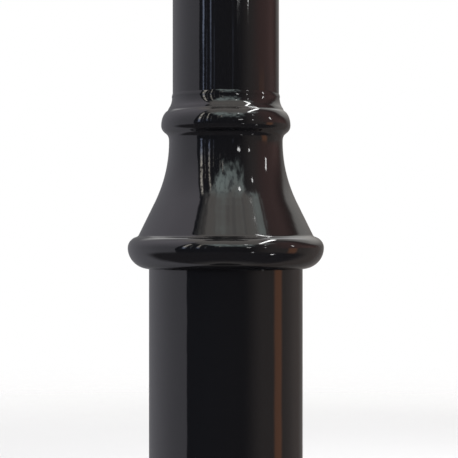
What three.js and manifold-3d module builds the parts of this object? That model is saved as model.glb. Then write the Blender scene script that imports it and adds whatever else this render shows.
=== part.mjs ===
// A two-dial street clock on a stepped tubular post, in millimetres, +Z up.
// The origin is the centre of the base where it stands on the ground. The front dial faces -Y.
import * as THREE from "three";
import { mergeVertices } from "three/addons/utils/BufferGeometryUtils.js";
import Module from "manifold-3d";

const wasm = await Module();
wasm.setup();

// ---- Driving dimensions -------------------------------------------------------------------------
const GAP = 0.35; // between pieces that touch
const LOWER_R = 165.1 / 2; // post tube below the collar
const LOWER_WALL = 5;
const UPPER_R = 114.3 / 2; // shaft above the collar
const UPPER_WALL = 4;
const COLLAR_Z = 1250; // underside of the collar
const COLLAR_H = 186;
const STEP_UP = 40; // how far the lower tube reaches into the collar
const STEP_TAPER = 50; // height of the cone that joins tube and shaft
const CAPITAL_Z = 2299.5; // underside of the capital
const CAPITAL_TOP = CAPITAL_Z + COLLAR_H;
const POST_SIDES = 24;

const BASE_R = 220; // outer radius of the cast base cover
const COVER_WALL = 8; // thickness of the cover's bell
const PLATE_SIDE = 290;
const PLATE_T = 20;
const ANCHOR_AT = 110; // anchor bolts stand at +-ANCHOR_AT in X and Y

const DOOR_Z = 470; // underside of the access door
const DOOR_H = 470;
const DOOR_LAP = 15; // the door covers its opening by this much
const DOOR_HALF_DEG = 36;
const DOOR_HINGE_DEG = 41;
const DOOR_T = 3;
const LOCK_DEG = 20;

const HEAD_Z = 2895; // centre of the dials
const DRUM_R = 380;
const DRUM_WALL = 4;
const DRUM_HALF = 105; // half the drum's depth
const HEAD_SIDES = 36;
const RIM_R = 330; // inner edge of the flat rim at each end of the drum
const RIM_T = 4;
const DIAL_R = 343;
const BEZEL_R = 392;
const BEZEL_BACK = -109.3;
const BEZEL_FRONT = -151;
const GLASS_R = 344;
const GLASS_BACK = -139.7;
const GLASS_T = 5;
const HINGE_X = -400; // bezel hinge axis
const HINGE_Y = -112;
const FASTENER_X = 373;
const MINUTE_LENGTH = 286;
const HOUR_LENGTH = 196;
const MINUTE_DEG = 60; // ten past ten
const HOUR_DEG = 305;

const CONDUIT_R = 6;
const RAD = Math.PI / 180;

// ---- Materials ----------------------------------------------------------------------------------
const paint = (color, roughness, metalness) =>
  new THREE.MeshStandardMaterial({ color, roughness, metalness });
const BLACK_PAINT = paint(0x0b0b0d, 0.12, 0.0);
const GALVANISED = paint(0x9a9d9f, 0.5, 0.9);
const STAINLESS = paint(0xb8babd, 0.3, 1.0);
const DIAL_WHITE = paint(0xf1efe6, 0.35, 0.0);
const CLEAR = paint(0xdfe8ea, 0.05, 0.0);
const RUBBER = paint(0x161616, 0.8, 0.0);
const GREY_PLASTIC = paint(0x8d9193, 0.5, 0.0);
const BOARD_WHITE = paint(0xe8e8e4, 0.4, 0.0);
const BRASS = paint(0xb08d4a, 0.3, 1.0);

// ---- Tools --------------------------------------------------------------------------------------
const clock = new THREE.Group();

function add(name, geometry, material, parent = clock) {
  const mesh = new THREE.Mesh(geometry, material);
  mesh.name = name;
  parent.add(mesh);
  return mesh;
}

function solid(geometry) {
  const bare = geometry.clone();
  bare.deleteAttribute("normal");
  bare.deleteAttribute("uv");
  const merged = mergeVertices(bare, 1e-3);
  return new wasm.Manifold(
    new wasm.Mesh({
      numProp: 3,
      vertProperties: merged.attributes.position.array,
      triVerts: new Uint32Array(merged.index.array),
    }),
  );
}

function geometryOf(body) {
  const mesh = body.getMesh();
  const points = new Float32Array(mesh.numVert * 3);
  for (let i = 0; i < mesh.numVert; i++) {
    points.set(mesh.vertProperties.subarray(i * mesh.numProp, i * mesh.numProp + 3), i * 3);
  }
  return new THREE.BufferGeometry()
    .setAttribute("position", new THREE.BufferAttribute(points, 3))
    .setIndex(new THREE.BufferAttribute(mesh.triVerts, 1));
}

const join = (first, ...others) => geometryOf(others.reduce((a, b) => a.add(solid(b)), solid(first)));
const cut = (first, ...others) => geometryOf(others.reduce((a, b) => a.subtract(solid(b)), solid(first)));

// A closed profile of [radius, height] pairs, turned about Z. It runs up the outside and down the inside.
function turned(profile, sides = POST_SIDES) {
  return turnedAboutY(profile, sides).rotateX(Math.PI / 2);
}

// The same about Y.
function turnedAboutY(profile, sides = HEAD_SIDES) {
  const closed = profile[0][0] === 0 ? profile : [...profile, profile[0]];
  return new THREE.LatheGeometry(
    closed.map(([r, h]) => new THREE.Vector2(r, h)),
    sides,
  );
}

const ring = (inner, outer, low, high) => [
  [outer, low],
  [outer, high],
  [inner, high],
  [inner, low],
];

const rod = (radius, low, high, sides = 16) =>
  new THREE.CylinderGeometry(radius, radius, high - low, sides).translate(0, (low + high) / 2, 0);
const rodY = (radius, low, high, x = 0, z = 0, sides = 16) =>
  rod(radius, low, high, sides).translate(x, 0, z);
const rodZ = (radius, low, high, x = 0, y = 0, sides = 16) =>
  rod(radius, low, high, sides)
    .rotateX(Math.PI / 2)
    .translate(x, y, 0);

function block(x0, x1, y0, y1, z0, z1) {
  return new THREE.BoxGeometry(x1 - x0, y1 - y0, z1 - z0).translate(
    (x0 + x1) / 2,
    (y0 + y1) / 2,
    (z0 + z1) / 2,
  );
}

// Points on an arc of an ellipse, angles in degrees from +radius towards +height.
function arc(cr, ch, a, b, from, to, steps) {
  return Array.from({ length: steps + 1 }, (_, i) => {
    const t = (from + ((to - from) * i) / steps) * RAD;
    return [cr + a * Math.cos(t), ch + b * Math.sin(t)];
  });
}

// A flat outline drawn in X and Z, made thickness deep towards -Y from the plane y = back.
function plate(shape, thickness, back, curveSegments = 8) {
  return new THREE.ExtrudeGeometry(shape, { depth: thickness, bevelEnabled: false, curveSegments })
    .rotateX(Math.PI / 2)
    .translate(0, back, 0);
}

// A curved panel between two radii and two angles, measured from -Y towards +X.
function sector(inner, outer, from, to, low, high) {
  const a = (from - 90) * RAD;
  const b = (to - 90) * RAD;
  const shape = new THREE.Shape();
  shape.absarc(0, 0, outer, a, b, false);
  shape.absarc(0, 0, inner, b, a, true);
  return new THREE.ExtrudeGeometry(shape, {
    depth: high - low,
    bevelEnabled: false,
    curveSegments: 5,
  }).translate(0, 0, low);
}

// ---- Base ---------------------------------------------------------------------------------------
function basePlate() {
  const half = PLATE_SIDE / 2;
  const corners = [[-1, -1], [-1, 1], [1, -1], [1, 1]];
  const holes = corners.map(([i, j]) => rodZ(13, -5, 30, i * ANCHOR_AT, j * ANCHOR_AT, 12));
  return cut(block(-half, half, -half, half, 0, PLATE_T), rodZ(40, -5, 30, 0, 0, 20), ...holes);
}

function anchorBolt() {
  const stud = rodZ(10, 1, 58, 0, 0, 12);
  const washer = rodZ(22, PLATE_T + GAP, PLATE_T + 4, 0, 0, 16);
  const nut = rodZ(18, PLATE_T + 3.9, PLATE_T + 22, 0, 0, 6);
  return join(stud, washer, nut);
}

// Plinth, round moulding, hollow bell and a ring at the top, as a wall around the post.
function baseCoverProfile() {
  const bellR = BASE_R - 28;
  return [
    [BASE_R, 0],
    [BASE_R, 46],
    [BASE_R - 6, 52],
    ...arc(BASE_R - 20, 70, 19, 17, -65, 80, 4),
    [bellR, 90],
    ...arc(bellR, 305, 93, 213, -90, -180, 6).slice(1),
    ...arc(97, 318, 13, 12, -60, 90, 3),
    [LOWER_R + 1, 334],
    [LOWER_R + 1, 300],
    ...arc(bellR, 305, 93 + COVER_WALL, 213 + COVER_WALL, -176, -90, 6),
    [BASE_R - 20, 72],
    [BASE_R - 20, 34],
    [BASE_R - 10, 24],
    [BASE_R - 10, 0],
  ];
}

function baseCoverHalf(front) {
  const shell = turned(baseCoverProfile());
  const side = front ? 1 : -1;
  const away = block(-300, 300, side * 150 - 150 - side * 0.3, side * 150 + 150 - side * 0.3, -10, 400);
  return cut(shell, away);
}

// ---- Post ---------------------------------------------------------------------------------------
function lowerTube() {
  const wall = turned(ring(LOWER_R - LOWER_WALL, LOWER_R, PLATE_T + GAP, COLLAR_Z + STEP_UP));
  const opening = block(-40, 40, -120, -20, DOOR_Z + DOOR_LAP, DOOR_Z + DOOR_H - DOOR_LAP);
  return cut(wall, opening);
}

function reducer() {
  const low = COLLAR_Z + STEP_UP + GAP;
  const high = COLLAR_Z + STEP_UP + STEP_TAPER;
  return turned([
    [LOWER_R, low],
    [UPPER_R, high],
    [UPPER_R - UPPER_WALL, high],
    [LOWER_R - LOWER_WALL, low],
  ]);
}

const upperShaft = () =>
  turned(ring(UPPER_R - UPPER_WALL, UPPER_R, COLLAR_Z + STEP_UP + STEP_TAPER + GAP, CAPITAL_TOP - 0.5));

// Outside of the cast collar from its underside up: large moulding, bell, small moulding, lip on the shaft.
function collarOutside(steps) {
  return [
    ...arc(82, 24, 23.3, 22.7, -86, 0, steps + 1),
    ...arc(92, 24, 13.3, 12.3, 0, 78, steps).slice(1),
    [93.4, 37.3],
    [92.6, 39.4],
    [75.2, 75],
    ...arc(61.1 + 147.2, 138, 147.2, 147.2, 205.3, 180, steps + 1).slice(1),
    [61.5, 141.8],
    [63.3, 145.3],
    ...arc(60, 155, 9.5, 9.5, -52, 0, steps),
    ...arc(60, 155, 9.5, 16.3, 0, 70, steps).slice(1),
    ...arc(64.5, COLLAR_H, 6.5, 14, 250, 180, steps),
  ];
}

function collar() {
  const bore = UPPER_R + 0.6;
  const inside = [[bore, COLLAR_H], [bore, 93], [LOWER_R + 0.5, 42], [LOWER_R + 0.5, 1.4]];
  const profile = [...collarOutside(3), ...inside];
  return turned(profile).translate(0, 0, COLLAR_Z);
}

// The collar turned upside down, so that its bell opens towards the drum.
function capital() {
  const outside = collarOutside(2)
    .map(([r, h]) => [r, COLLAR_H - h])
    .reverse();
  const bore = UPPER_R + 0.5;
  return turned([...outside, [bore, COLLAR_H - 1.3], [bore, 0]]).translate(0, 0, CAPITAL_Z);
}

// A grub screw in the collar's neck, set on its rear side.
function collarScrew(deg) {
  const screw = rodY(3.9, UPPER_R + 0.9, 64.5, 0, 0, 10);
  return screw.rotateZ(deg * RAD).translate(0, 0, COLLAR_Z + 128);
}

const screwHole = (deg) =>
  rodY(4.3, 40, 90, 0, 0, 10)
    .rotateZ(deg * RAD)
    .translate(0, 0, COLLAR_Z + 128);

function scrollRing() {
  const bore = UPPER_R + 0.5;
  return turned([...arc(bore + 1.5, 2058, 10, 14, -80, 80, 4), [bore, 2072], [bore, 2044]]);
}

// Points of a volute in X and Z from its eye outwards, turning clockwise, to end at the angle given.
function volute(cx, cz, radius, endDeg, turns) {
  const steps = Math.round(turns * 14);
  return Array.from({ length: steps + 1 }, (_, i) => {
    const share = i / steps;
    const r = radius * (0.24 + 0.76 * share ** 0.8);
    const angle = (endDeg + (1 - share) * turns * 360) * RAD;
    return new THREE.Vector2(cx + r * Math.cos(angle), cz + r * Math.sin(angle));
  });
}

const SCROLL_T = 8;
const SCROLL_W = 36;

// Centre line of the right-hand scroll: a volute on the shaft, a stem, and a volute under the drum.
function scrollLine() {
  const lower = volute(UPPER_R + GAP + SCROLL_T / 2 + 40, 2125, 40, 180, 1.25);
  const reach = DRUM_R + GAP + SCROLL_T / 2 + 55;
  const under = 42 * RAD;
  const upperX = reach * Math.sin(under);
  const upperZ = HEAD_Z - reach * Math.cos(under);
  const upper = volute(-upperX, upperZ, 55, 48, 1.25)
    .map((p) => new THREE.Vector2(-p.x, p.y))
    .reverse();
  const stem = [
    [63, 2170],
    [69, 2230],
    [82, 2310],
    [107, 2400],
    [147, 2485],
    [200, 2556],
  ].map(([x, z]) => new THREE.Vector2(x, z));
  const between = new THREE.SplineCurve([lower.at(-1), ...stem, upper[0]]);
  return [...lower, ...between.getPoints(16).slice(1, -1), ...upper];
}

function scroll(side) {
  const line = scrollLine();
  const offset = (sign) =>
    line.map((p, i) => {
      const along = line[Math.min(i + 1, line.length - 1)].clone().sub(line[Math.max(i - 1, 0)]);
      const normal = new THREE.Vector2(-along.y, along.x).normalize();
      return p.clone().addScaledVector(normal, (sign * SCROLL_T) / 2);
    });
  const outline = [...offset(1), ...offset(-1).reverse()].map((p) => new THREE.Vector2(side * p.x, p.y));
  return plate(new THREE.Shape(outline), SCROLL_W, SCROLL_W / 2);
}

// ---- Inside the post ----------------------------------------------------------------------------
function cableConduit() {
  const route = new THREE.CatmullRomCurve3(
    [
      [0, 12, 820.6],
      [0, 12, 900],
      [0, 8, 1100],
      [0, 0, 1350],
      [0, 0, 1900],
      [0, 0, 2300],
      [0, 0, HEAD_Z - 362.5],
    ].map(([x, y, z]) => new THREE.Vector3(x, y, z)),
  );
  const section = new THREE.Shape().absarc(0, 0, CONDUIT_R, 0, 2 * Math.PI, false);
  return new THREE.ExtrudeGeometry(section, { extrudePath: route, steps: 16, curveSegments: 4 });
}

// ---- Access door --------------------------------------------------------------------------------
const door = new THREE.Group();
const hingeSpan = [
  [DOOR_Z + 70, DOOR_Z + 100],
  [DOOR_Z + 370, DOOR_Z + 400],
];
const turnTo = (geometry, deg) => geometry.rotateZ(deg * RAD);
const hingeR = LOWER_R + 4.9;

function doorLeaf() {
  const inner = LOWER_R + 0.4;
  const outer = inner + DOOR_T;
  let leaf = sector(inner, outer, -DOOR_HALF_DEG, DOOR_HALF_DEG, DOOR_Z, DOOR_Z + DOOR_H);
  for (const [low] of hingeSpan) {
    const knuckle = rodZ(4.2, low, low + 14.6, 0, -hingeR, 12);
    const web = block(0, 9, -hingeR - 1.6, -hingeR + 2.6, low, low + 14.6);
    leaf = join(leaf, turnTo(knuckle, -DOOR_HINGE_DEG), turnTo(web, -DOOR_HINGE_DEG));
  }
  const pinHole = turnTo(rodZ(2.5, DOOR_Z, DOOR_Z + DOOR_H, 0, -hingeR, 12), -DOOR_HINGE_DEG);
  const lockHole = turnTo(rodY(8.6, -100, -60, 0, DOOR_Z + DOOR_H / 2), LOCK_DEG);
  return cut(leaf, pinHole, lockHole);
}

// Welded to the post: a strip with the other half of each knuckle.
function doorHingeBracket() {
  let bracket = sector(LOWER_R + 0.4, LOWER_R + 3.4, -14, -5, DOOR_Z + 60, DOOR_Z + 410);
  for (const [low] of hingeSpan) {
    const knuckle = rodZ(4.2, low + 15, low + 30, 0, -hingeR, 12);
    const web = block(-10, 0, -hingeR - 1, -hingeR + 3.6, low + 15, low + 30);
    bracket = join(bracket, knuckle, web);
  }
  return turnTo(cut(bracket, rodZ(2.5, DOOR_Z, DOOR_Z + DOOR_H, 0, -hingeR, 12)), -DOOR_HINGE_DEG);
}

const doorHingePin = () =>
  turnTo(rodZ(2, DOOR_Z + 62, DOOR_Z + 408, 0, -hingeR, 12), -DOOR_HINGE_DEG);

// Three-sided lock barrel with a cam inside that turns behind the tube's wall. Its cam stands clear here.
function doorLock() {
  const z = DOOR_Z + DOOR_H / 2;
  const head = rodY(11, -90.2, -LOWER_R - DOOR_T - 0.8, 0, z);
  const barrel = rodY(8, -89, -73, 0, z);
  const shaft = rodY(3.5, -75, -66, 0, z, 10);
  const cam = block(-5, 5, -69.5, -66, z - 5, z + 27);
  const key = rodY(4, -95, -88, 0, z, 3);
  return turnTo(cut(join(head, barrel, shaft, cam), key), LOCK_DEG);
}

// ---- Head ---------------------------------------------------------------------------------------
function drumSaddle() {
  const shape = new THREE.Shape();
  const low = CAPITAL_TOP + GAP;
  shape.moveTo(-78, low);
  shape.lineTo(78, low);
  shape.lineTo(78, low + 8);
  shape.quadraticCurveTo(88, low + 26, 132, low + 34);
  shape.lineTo(132, low + 70);
  shape.lineTo(-132, low + 70);
  shape.lineTo(-132, low + 34);
  shape.quadraticCurveTo(-88, low + 26, -78, low + 8);
  const drum = rodY(DRUM_R + 0.4, -200, 200, 0, HEAD_Z, HEAD_SIDES);
  return cut(plate(shape, 110, 55, 5), drum, rodZ(14, low - 5, low + 80, 0, 0, 12));
}

// The round hole and slot that a fastener's tongue goes through.
function keyhole(side) {
  const x = -side * FASTENER_X;
  const low = Math.min(side * 90, side * 120);
  return join(rodY(5, low, low + 30, x, 0, 12), block(x - 4.2, x + 4.2, low, low + 30, 0, 15));
}

function drumCase() {
  const half = DRUM_HALF - RIM_T - GAP;
  const shell = turnedAboutY(ring(DRUM_R - DRUM_WALL, DRUM_R, -half, half));
  const cableHole = rodZ(14, -DRUM_R - 20, -DRUM_R + 20, 0, 0, 12);
  return cut(shell, cableHole, keyhole(-1), keyhole(1));
}

// Bar across the drum, with a foot at each end, that carries the movements and the light boards.
function movementFrame() {
  const end = DRUM_R - DRUM_WALL - 8;
  const foot = (x) => block(x - 3, x + 3, -30, 30, -45, 45);
  return join(block(-end, end, -10, 10, -30, 30), foot(-end), foot(end));
}

function lightDriver() {
  const gland = rodZ(10, -362, -349, 0, 0, 10);
  return join(block(-70, 70, -18, 18, -350, -306), gland);
}

// Seat that fits the drum's curve, and the turned spindle on it, in one casting.
function finial() {
  const seat = HEAD_Z + 350;
  const foot = HEAD_Z + 408;
  const spindle = turned([
    [0, seat],
    [58, seat],
    [58, foot - 16],
    ...arc(40, foot - 8, 14, 8, -20, 90, 4),
    [30, foot],
    [30, foot + 6],
    ...arc(32, foot + 24, 18, 16, 215, 150, 3),
    ...arc(0, foot + 62, 33, 30, -48, 62, 5),
    [10, foot + 96],
    [17, foot + 104],
    [10, foot + 112],
    [6, foot + 150],
    [0, foot + 196],
  ]);
  return cut(spindle, rodY(DRUM_R + 0.4, -200, 200, 0, HEAD_Z, HEAD_SIDES));
}

// ---- One dial side, drawn for the front; the rear is the same turned half round -------------------
function drumRim() {
  return cut(turnedAboutY(ring(RIM_R, DRUM_R, -DRUM_HALF, -DRUM_HALF + RIM_T)), keyhole(-1));
}

function dial() {
  return turnedAboutY(ring(9, DIAL_R, -108.3, -DRUM_HALF - 0.35));
}

const seal = () => turnedAboutY(ring(352, 366, BEZEL_BACK + 0.35, -DRUM_HALF - 0.35), 24);
const glass = () => turnedAboutY([
  [0, GLASS_BACK - GLASS_T],
  [GLASS_R, GLASS_BACK - GLASS_T],
  [GLASS_R, GLASS_BACK],
  [0, GLASS_BACK],
]);

function bezel() {
  const body = turnedAboutY([
    [328, -149],
    ...arc(345, -126, 47, 25, 270, 360, 4),
    [BEZEL_R, BEZEL_BACK],
    [346, BEZEL_BACK],
    [346, GLASS_BACK - GLASS_T - 0.35],
    [328, GLASS_BACK - GLASS_T - 0.35],
  ]);
  const knuckle = rodZ(7, -20, 20, HINGE_X, HINGE_Y);
  const web = block(HINGE_X, -386, -119, -110, -20, 20);
  const fastenerHole = rodY(5, -160, -100, FASTENER_X, 0, 12);
  const recess = rodY(11, -160, -137, FASTENER_X, 0);
  return cut(join(body, knuckle, web), rodZ(3.7, -30, 30, HINGE_X, HINGE_Y), fastenerHole, recess);
}

function hingeBracket() {
  const leaf = block(-386, -381, -108.5, -66, -38, 38);
  const arms = [-1, 1].flatMap((side) => {
    const [low, high] = side > 0 ? [20.5, 38] : [-38, -20.5];
    return [rodZ(7, low, high, HINGE_X, HINGE_Y), block(HINGE_X, -383, -108.9, -103, low, high)];
  });
  const onDrum = rodY(DRUM_R + 0.4, -150, 0, 0, 0, HEAD_SIDES);
  return cut(join(leaf, ...arms), rodZ(3.5, -50, 50, HINGE_X, HINGE_Y), onDrum);
}

const hingePin = () => join(rodZ(3, -41, 41, HINGE_X, HINGE_Y), rodZ(5.5, 38.4, 43, HINGE_X, HINGE_Y));

// Quarter-turn screw. Its tongue stands in the keyhole here, and a quarter turn takes it behind the rim.
function fastener() {
  const shaft = rodY(4, -141, -97.6, FASTENER_X, 0, 12);
  const tongue = block(FASTENER_X - 3, FASTENER_X + 3, -100.6, -97.6, 0, 13);
  const head = rodY(9, -144, -137.3, FASTENER_X, 0);
  const slot = block(FASTENER_X - 12, FASTENER_X + 12, -150, -142, -1.2, 1.2);
  return cut(join(shaft, head, tongue), slot);
}

// A tapering hand with a round hub and a pear-shaped counterweight, pointing to twelve.
function handShape(length, tail, hubR, rootW, spadeAt, spadeW, boreR) {
  const shape = new THREE.Shape();
  shape.moveTo(-rootW / 2, -hubR * 0.8);
  shape.lineTo(-rootW * 0.8, -tail);
  shape.lineTo(rootW * 0.8, -tail);
  shape.lineTo(rootW / 2, -hubR * 0.8);
  shape.absarc(0, 0, hubR, -65 * RAD, 70 * RAD, false);
  shape.lineTo(rootW * 0.36, spadeAt);
  shape.quadraticCurveTo(spadeW * 0.75, spadeAt + spadeW * 0.35, 0, length);
  shape.quadraticCurveTo(-spadeW * 0.75, spadeAt + spadeW * 0.35, -rootW * 0.36, spadeAt);
  shape.absarc(0, 0, hubR, 110 * RAD, 245 * RAD, false);
  shape.holes.push(new THREE.Path().absarc(0, 0, boreR, 0, 2 * Math.PI, true));
  return shape;
}

const clockwise = (geometry, deg) => geometry.rotateY(deg * RAD);
const hourHand = () =>
  clockwise(plate(handShape(HOUR_LENGTH, 62, 20, 20, 118, 46, 7.4), 3, -115.5, 6), HOUR_DEG);
const minuteHand = () =>
  clockwise(plate(handShape(MINUTE_LENGTH, 84, 17, 16, 205, 30, 4.4), 3, -123.5, 6), MINUTE_DEG);
const hourTube = () => turnedAboutY(ring(4.5, 7, -119, -75), 16);
const minuteArbor = () => rodY(4, -128, -72);
const handNut = () => turnedAboutY(ring(4.4, 11, -131, -126.9), 12);

// A closed gearbox on a foot, with a round well at the front for the hour tube and the arbor.
function movement() {
  const box = block(-55, 55, -96, -52, -55, 55);
  const foot = block(-30, 30, -53, -10.4, -25, 25);
  return cut(join(box, foot), rodY(8, -100, -71));
}

const lightBoard = () => turnedAboutY(ring(150, 290, -13.4, -10.4), 24);

const SIDE_PIECES = [
  ["drum_rim", drumRim, BLACK_PAINT],
  ["dial", dial, DIAL_WHITE],
  ["dial_seal", seal, RUBBER],
  ["glass", glass, CLEAR],
  ["bezel", bezel, BLACK_PAINT],
  ["bezel_hinge_bracket", hingeBracket, BLACK_PAINT],
  ["bezel_hinge_pin", hingePin, STAINLESS],
  ["bezel_fastener", fastener, STAINLESS],
  ["hour_hand", hourHand, BLACK_PAINT],
  ["minute_hand", minuteHand, BLACK_PAINT],
  ["hour_tube", hourTube, BRASS],
  ["minute_arbor", minuteArbor, STAINLESS],
  ["hand_nut", handNut, BRASS],
  ["movement", movement, GREY_PLASTIC],
  ["light_board", lightBoard, BOARD_WHITE],
];

// ---- Assembly -----------------------------------------------------------------------------------
add("base_plate", basePlate(), GALVANISED);
[
  [1, 1],
  [-1, 1],
  [-1, -1],
  [1, -1],
].forEach(([i, j], n) => {
  add(`anchor_bolt_${n + 1}`, anchorBolt(), GALVANISED).position.set(i * ANCHOR_AT, j * ANCHOR_AT, 0);
});
add("base_cover_front", baseCoverHalf(true), BLACK_PAINT);
add("base_cover_rear", baseCoverHalf(false), BLACK_PAINT);

add("lower_tube", lowerTube(), BLACK_PAINT);
add("shaft_reducer", reducer(), GALVANISED);
add("upper_shaft", upperShaft(), BLACK_PAINT);
const SCREWS = { collar_screw_left: 48, collar_screw_right: -48 };
add("post_collar", cut(collar(), ...Object.values(SCREWS).map(screwHole)), BLACK_PAINT);
for (const [name, deg] of Object.entries(SCREWS)) {
  add(name, collarScrew(deg), STAINLESS);
}
add("scroll_ring", scrollRing(), BLACK_PAINT);
add("scroll_right", scroll(1), BLACK_PAINT);
add("scroll_left", scroll(-1), BLACK_PAINT);
add("capital", capital(), BLACK_PAINT);

add("access_door", doorLeaf(), BLACK_PAINT, door);
add("door_lock", doorLock(), STAINLESS, door);
add("door_hinge_bracket", doorHingeBracket(), BLACK_PAINT, door);
add("door_hinge_pin", doorHingePin(), STAINLESS, door);
clock.add(door);

add("backboard", block(-30, 30, 36, 46, 500, 900), GREY_PLASTIC);
add("isolator_box", block(-27, 27, -12, 35.6, 700, 820), GREY_PLASTIC);
add("clock_controller", block(-27, 27, -5, 35.6, 570, 660), GREY_PLASTIC);
add("cable_conduit", cableConduit(), GREY_PLASTIC);

add("drum_saddle", drumSaddle(), BLACK_PAINT);
add("finial", finial(), BLACK_PAINT);

const head = new THREE.Group();
head.position.z = HEAD_Z;
clock.add(head);
add("drum_case", drumCase(), BLACK_PAINT, head);
add("movement_frame", movementFrame(), GALVANISED, head);
add("light_driver", lightDriver(), GREY_PLASTIC, head);

for (const [side, turn] of [["front", 0], ["rear", Math.PI]]) {
  const face = new THREE.Group();
  face.rotation.z = turn;
  head.add(face);
  for (const [name, make, material] of SIDE_PIECES) {
    add(`${name}_${side}`, make(), material, face);
  }
}

export default clock;
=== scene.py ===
import math

import bmesh
import bpy
from mathutils import Matrix, Vector


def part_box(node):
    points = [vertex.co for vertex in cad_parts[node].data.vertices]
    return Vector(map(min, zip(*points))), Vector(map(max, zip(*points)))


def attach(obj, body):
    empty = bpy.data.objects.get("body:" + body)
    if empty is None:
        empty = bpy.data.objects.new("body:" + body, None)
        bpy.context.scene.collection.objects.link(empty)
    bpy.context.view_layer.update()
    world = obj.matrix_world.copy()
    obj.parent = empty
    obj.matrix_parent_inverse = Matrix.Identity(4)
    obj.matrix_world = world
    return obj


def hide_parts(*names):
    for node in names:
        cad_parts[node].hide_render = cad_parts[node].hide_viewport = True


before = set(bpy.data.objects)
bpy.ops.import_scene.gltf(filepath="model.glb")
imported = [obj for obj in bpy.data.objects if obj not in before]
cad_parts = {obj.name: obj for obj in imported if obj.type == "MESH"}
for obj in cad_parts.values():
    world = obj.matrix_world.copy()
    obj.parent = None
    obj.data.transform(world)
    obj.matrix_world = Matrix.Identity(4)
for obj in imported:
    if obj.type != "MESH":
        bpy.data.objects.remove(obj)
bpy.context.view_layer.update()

bl_info = {
    "name": "Street clock",
    "version": (1, 0, 0),
    "blender": (4, 5, 0),
    "location": "3D View > Sidebar > Street clock",
    "description": "Builds a two-dial street clock on a stepped post around its packed frame",
    "category": "Object",
}

MM = 0.001
TAU = math.tau


def low(node):
    """The lowest corner of a CAD node."""
    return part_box(node)[0]


def high(node):
    """The highest corner of a CAD node."""
    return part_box(node)[1]


HEAD_Z = (low("drum_case").z + high("drum_case").z) / 2
COLLAR_TOP = high("post_collar").z
COLLAR_HEIGHT = 186  # millimetres, as every outline is
COLLAR_Z = COLLAR_TOP - COLLAR_HEIGHT * MM
LOWER_R = high("lower_tube").x
UPPER_R = high("upper_shaft").x
CAPITAL_TOP = high("upper_shaft").z + 0.5 * MM
DRUM_R = high("drum_case").x
DRUM_HALF = high("drum_rim_rear").y
DOOR_LOW = low("access_door").z
DOOR_HIGH = high("access_door").z
HINGE_X = -400 * MM
HINGE_OUT = 112 * MM
FASTENER_X = 373 * MM
SIDES = {"front": 0.0, "rear": math.pi}


# ---- Settings -----------------------------------------------------------------------------------


class StreetClockSizes(bpy.types.PropertyGroup):
    """Sizes that the frame leaves open"""

    round_steps: bpy.props.IntProperty(
        name="Round steps", description="Steps round a large turned piece", default=160, min=24
    )
    numeral_height: bpy.props.FloatProperty(
        name="Numeral height", description="Height of an hour numeral", default=60 * MM, unit="LENGTH"
    )
    numeral_radius: bpy.props.FloatProperty(
        name="Numeral circle", description="Radius of the numerals' middle", default=250 * MM, unit="LENGTH"
    )
    track_radius: bpy.props.FloatProperty(
        name="Minute track", description="Radius of the minute marks' middle", default=303 * MM, unit="LENGTH"
    )
    print_depth: bpy.props.FloatProperty(
        name="Print depth", description="How proud the dial marks stand", default=0.6 * MM, unit="LENGTH"
    )


class StreetClockColours(bpy.types.PropertyGroup):
    """Colours of the clock's finishes"""

    black: bpy.props.FloatVectorProperty(
        name="Black paint", description="Gloss enamel", subtype="COLOR", default=(0.0035, 0.0035, 0.0042)
    )
    dust: bpy.props.FloatVectorProperty(
        name="Dust", description="Dust on upward faces", subtype="COLOR", default=(0.10, 0.095, 0.085)
    )
    dial: bpy.props.FloatVectorProperty(
        name="Dial", description="Opal acrylic", subtype="COLOR", default=(0.86, 0.84, 0.77)
    )
    zinc: bpy.props.FloatVectorProperty(
        name="Zinc", description="Galvanised steel", subtype="COLOR", default=(0.42, 0.43, 0.45)
    )
    steel: bpy.props.FloatVectorProperty(
        name="Stainless steel", description="Turned steel", subtype="COLOR", default=(0.56, 0.56, 0.57)
    )
    brass: bpy.props.FloatVectorProperty(
        name="Brass", description="Turned brass", subtype="COLOR", default=(0.50, 0.34, 0.12)
    )
    plastic: bpy.props.FloatVectorProperty(
        name="Grey plastic", description="Moulded housings", subtype="COLOR", default=(0.26, 0.28, 0.29)
    )
    floor: bpy.props.FloatVectorProperty(
        name="Floor", description="Studio floor", subtype="COLOR", default=(0.80, 0.80, 0.80)
    )


class StreetClockStage(bpy.types.PropertyGroup):
    """The studio round the clock"""

    lens: bpy.props.FloatProperty(name="Lens", description="Focal length in mm", default=116.96)
    distance: bpy.props.FloatProperty(
        name="Camera distance", description="From the post's axis", default=1.6, unit="LENGTH"
    )
    camera_height: bpy.props.FloatProperty(
        name="Camera height", description="Above the collar's foot", default=44.1 * MM, unit="LENGTH"
    )
    aim_height: bpy.props.FloatProperty(
        name="Aim height", description="Above the collar's foot", default=44.1 * MM, unit="LENGTH"
    )
    side_step: bpy.props.FloatProperty(
        name="Side step", description="Camera right of the axis", default=3.4 * MM, unit="LENGTH"
    )
    floor_radius: bpy.props.FloatProperty(
        name="Floor radius", description="Radius of the pale floor", default=13.0, unit="LENGTH"
    )


# ---- Shapes -------------------------------------------------------------------------------------


def arc(cr, ch, a, b, start, end, steps):
    """Points on an ellipse's arc in millimetres, from start to end in degrees."""
    turns = [math.radians(start + (end - start) * i / steps) for i in range(steps + 1)]
    return [(cr + a * math.cos(t), ch + b * math.sin(t)) for t in turns]


def curve_point(start, bend, end, t):
    """A point on the curve from start to end that is drawn towards bend."""
    return tuple(start * (1 - t) ** 2 + bend * 2 * t * (1 - t) + end * t**2)


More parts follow.
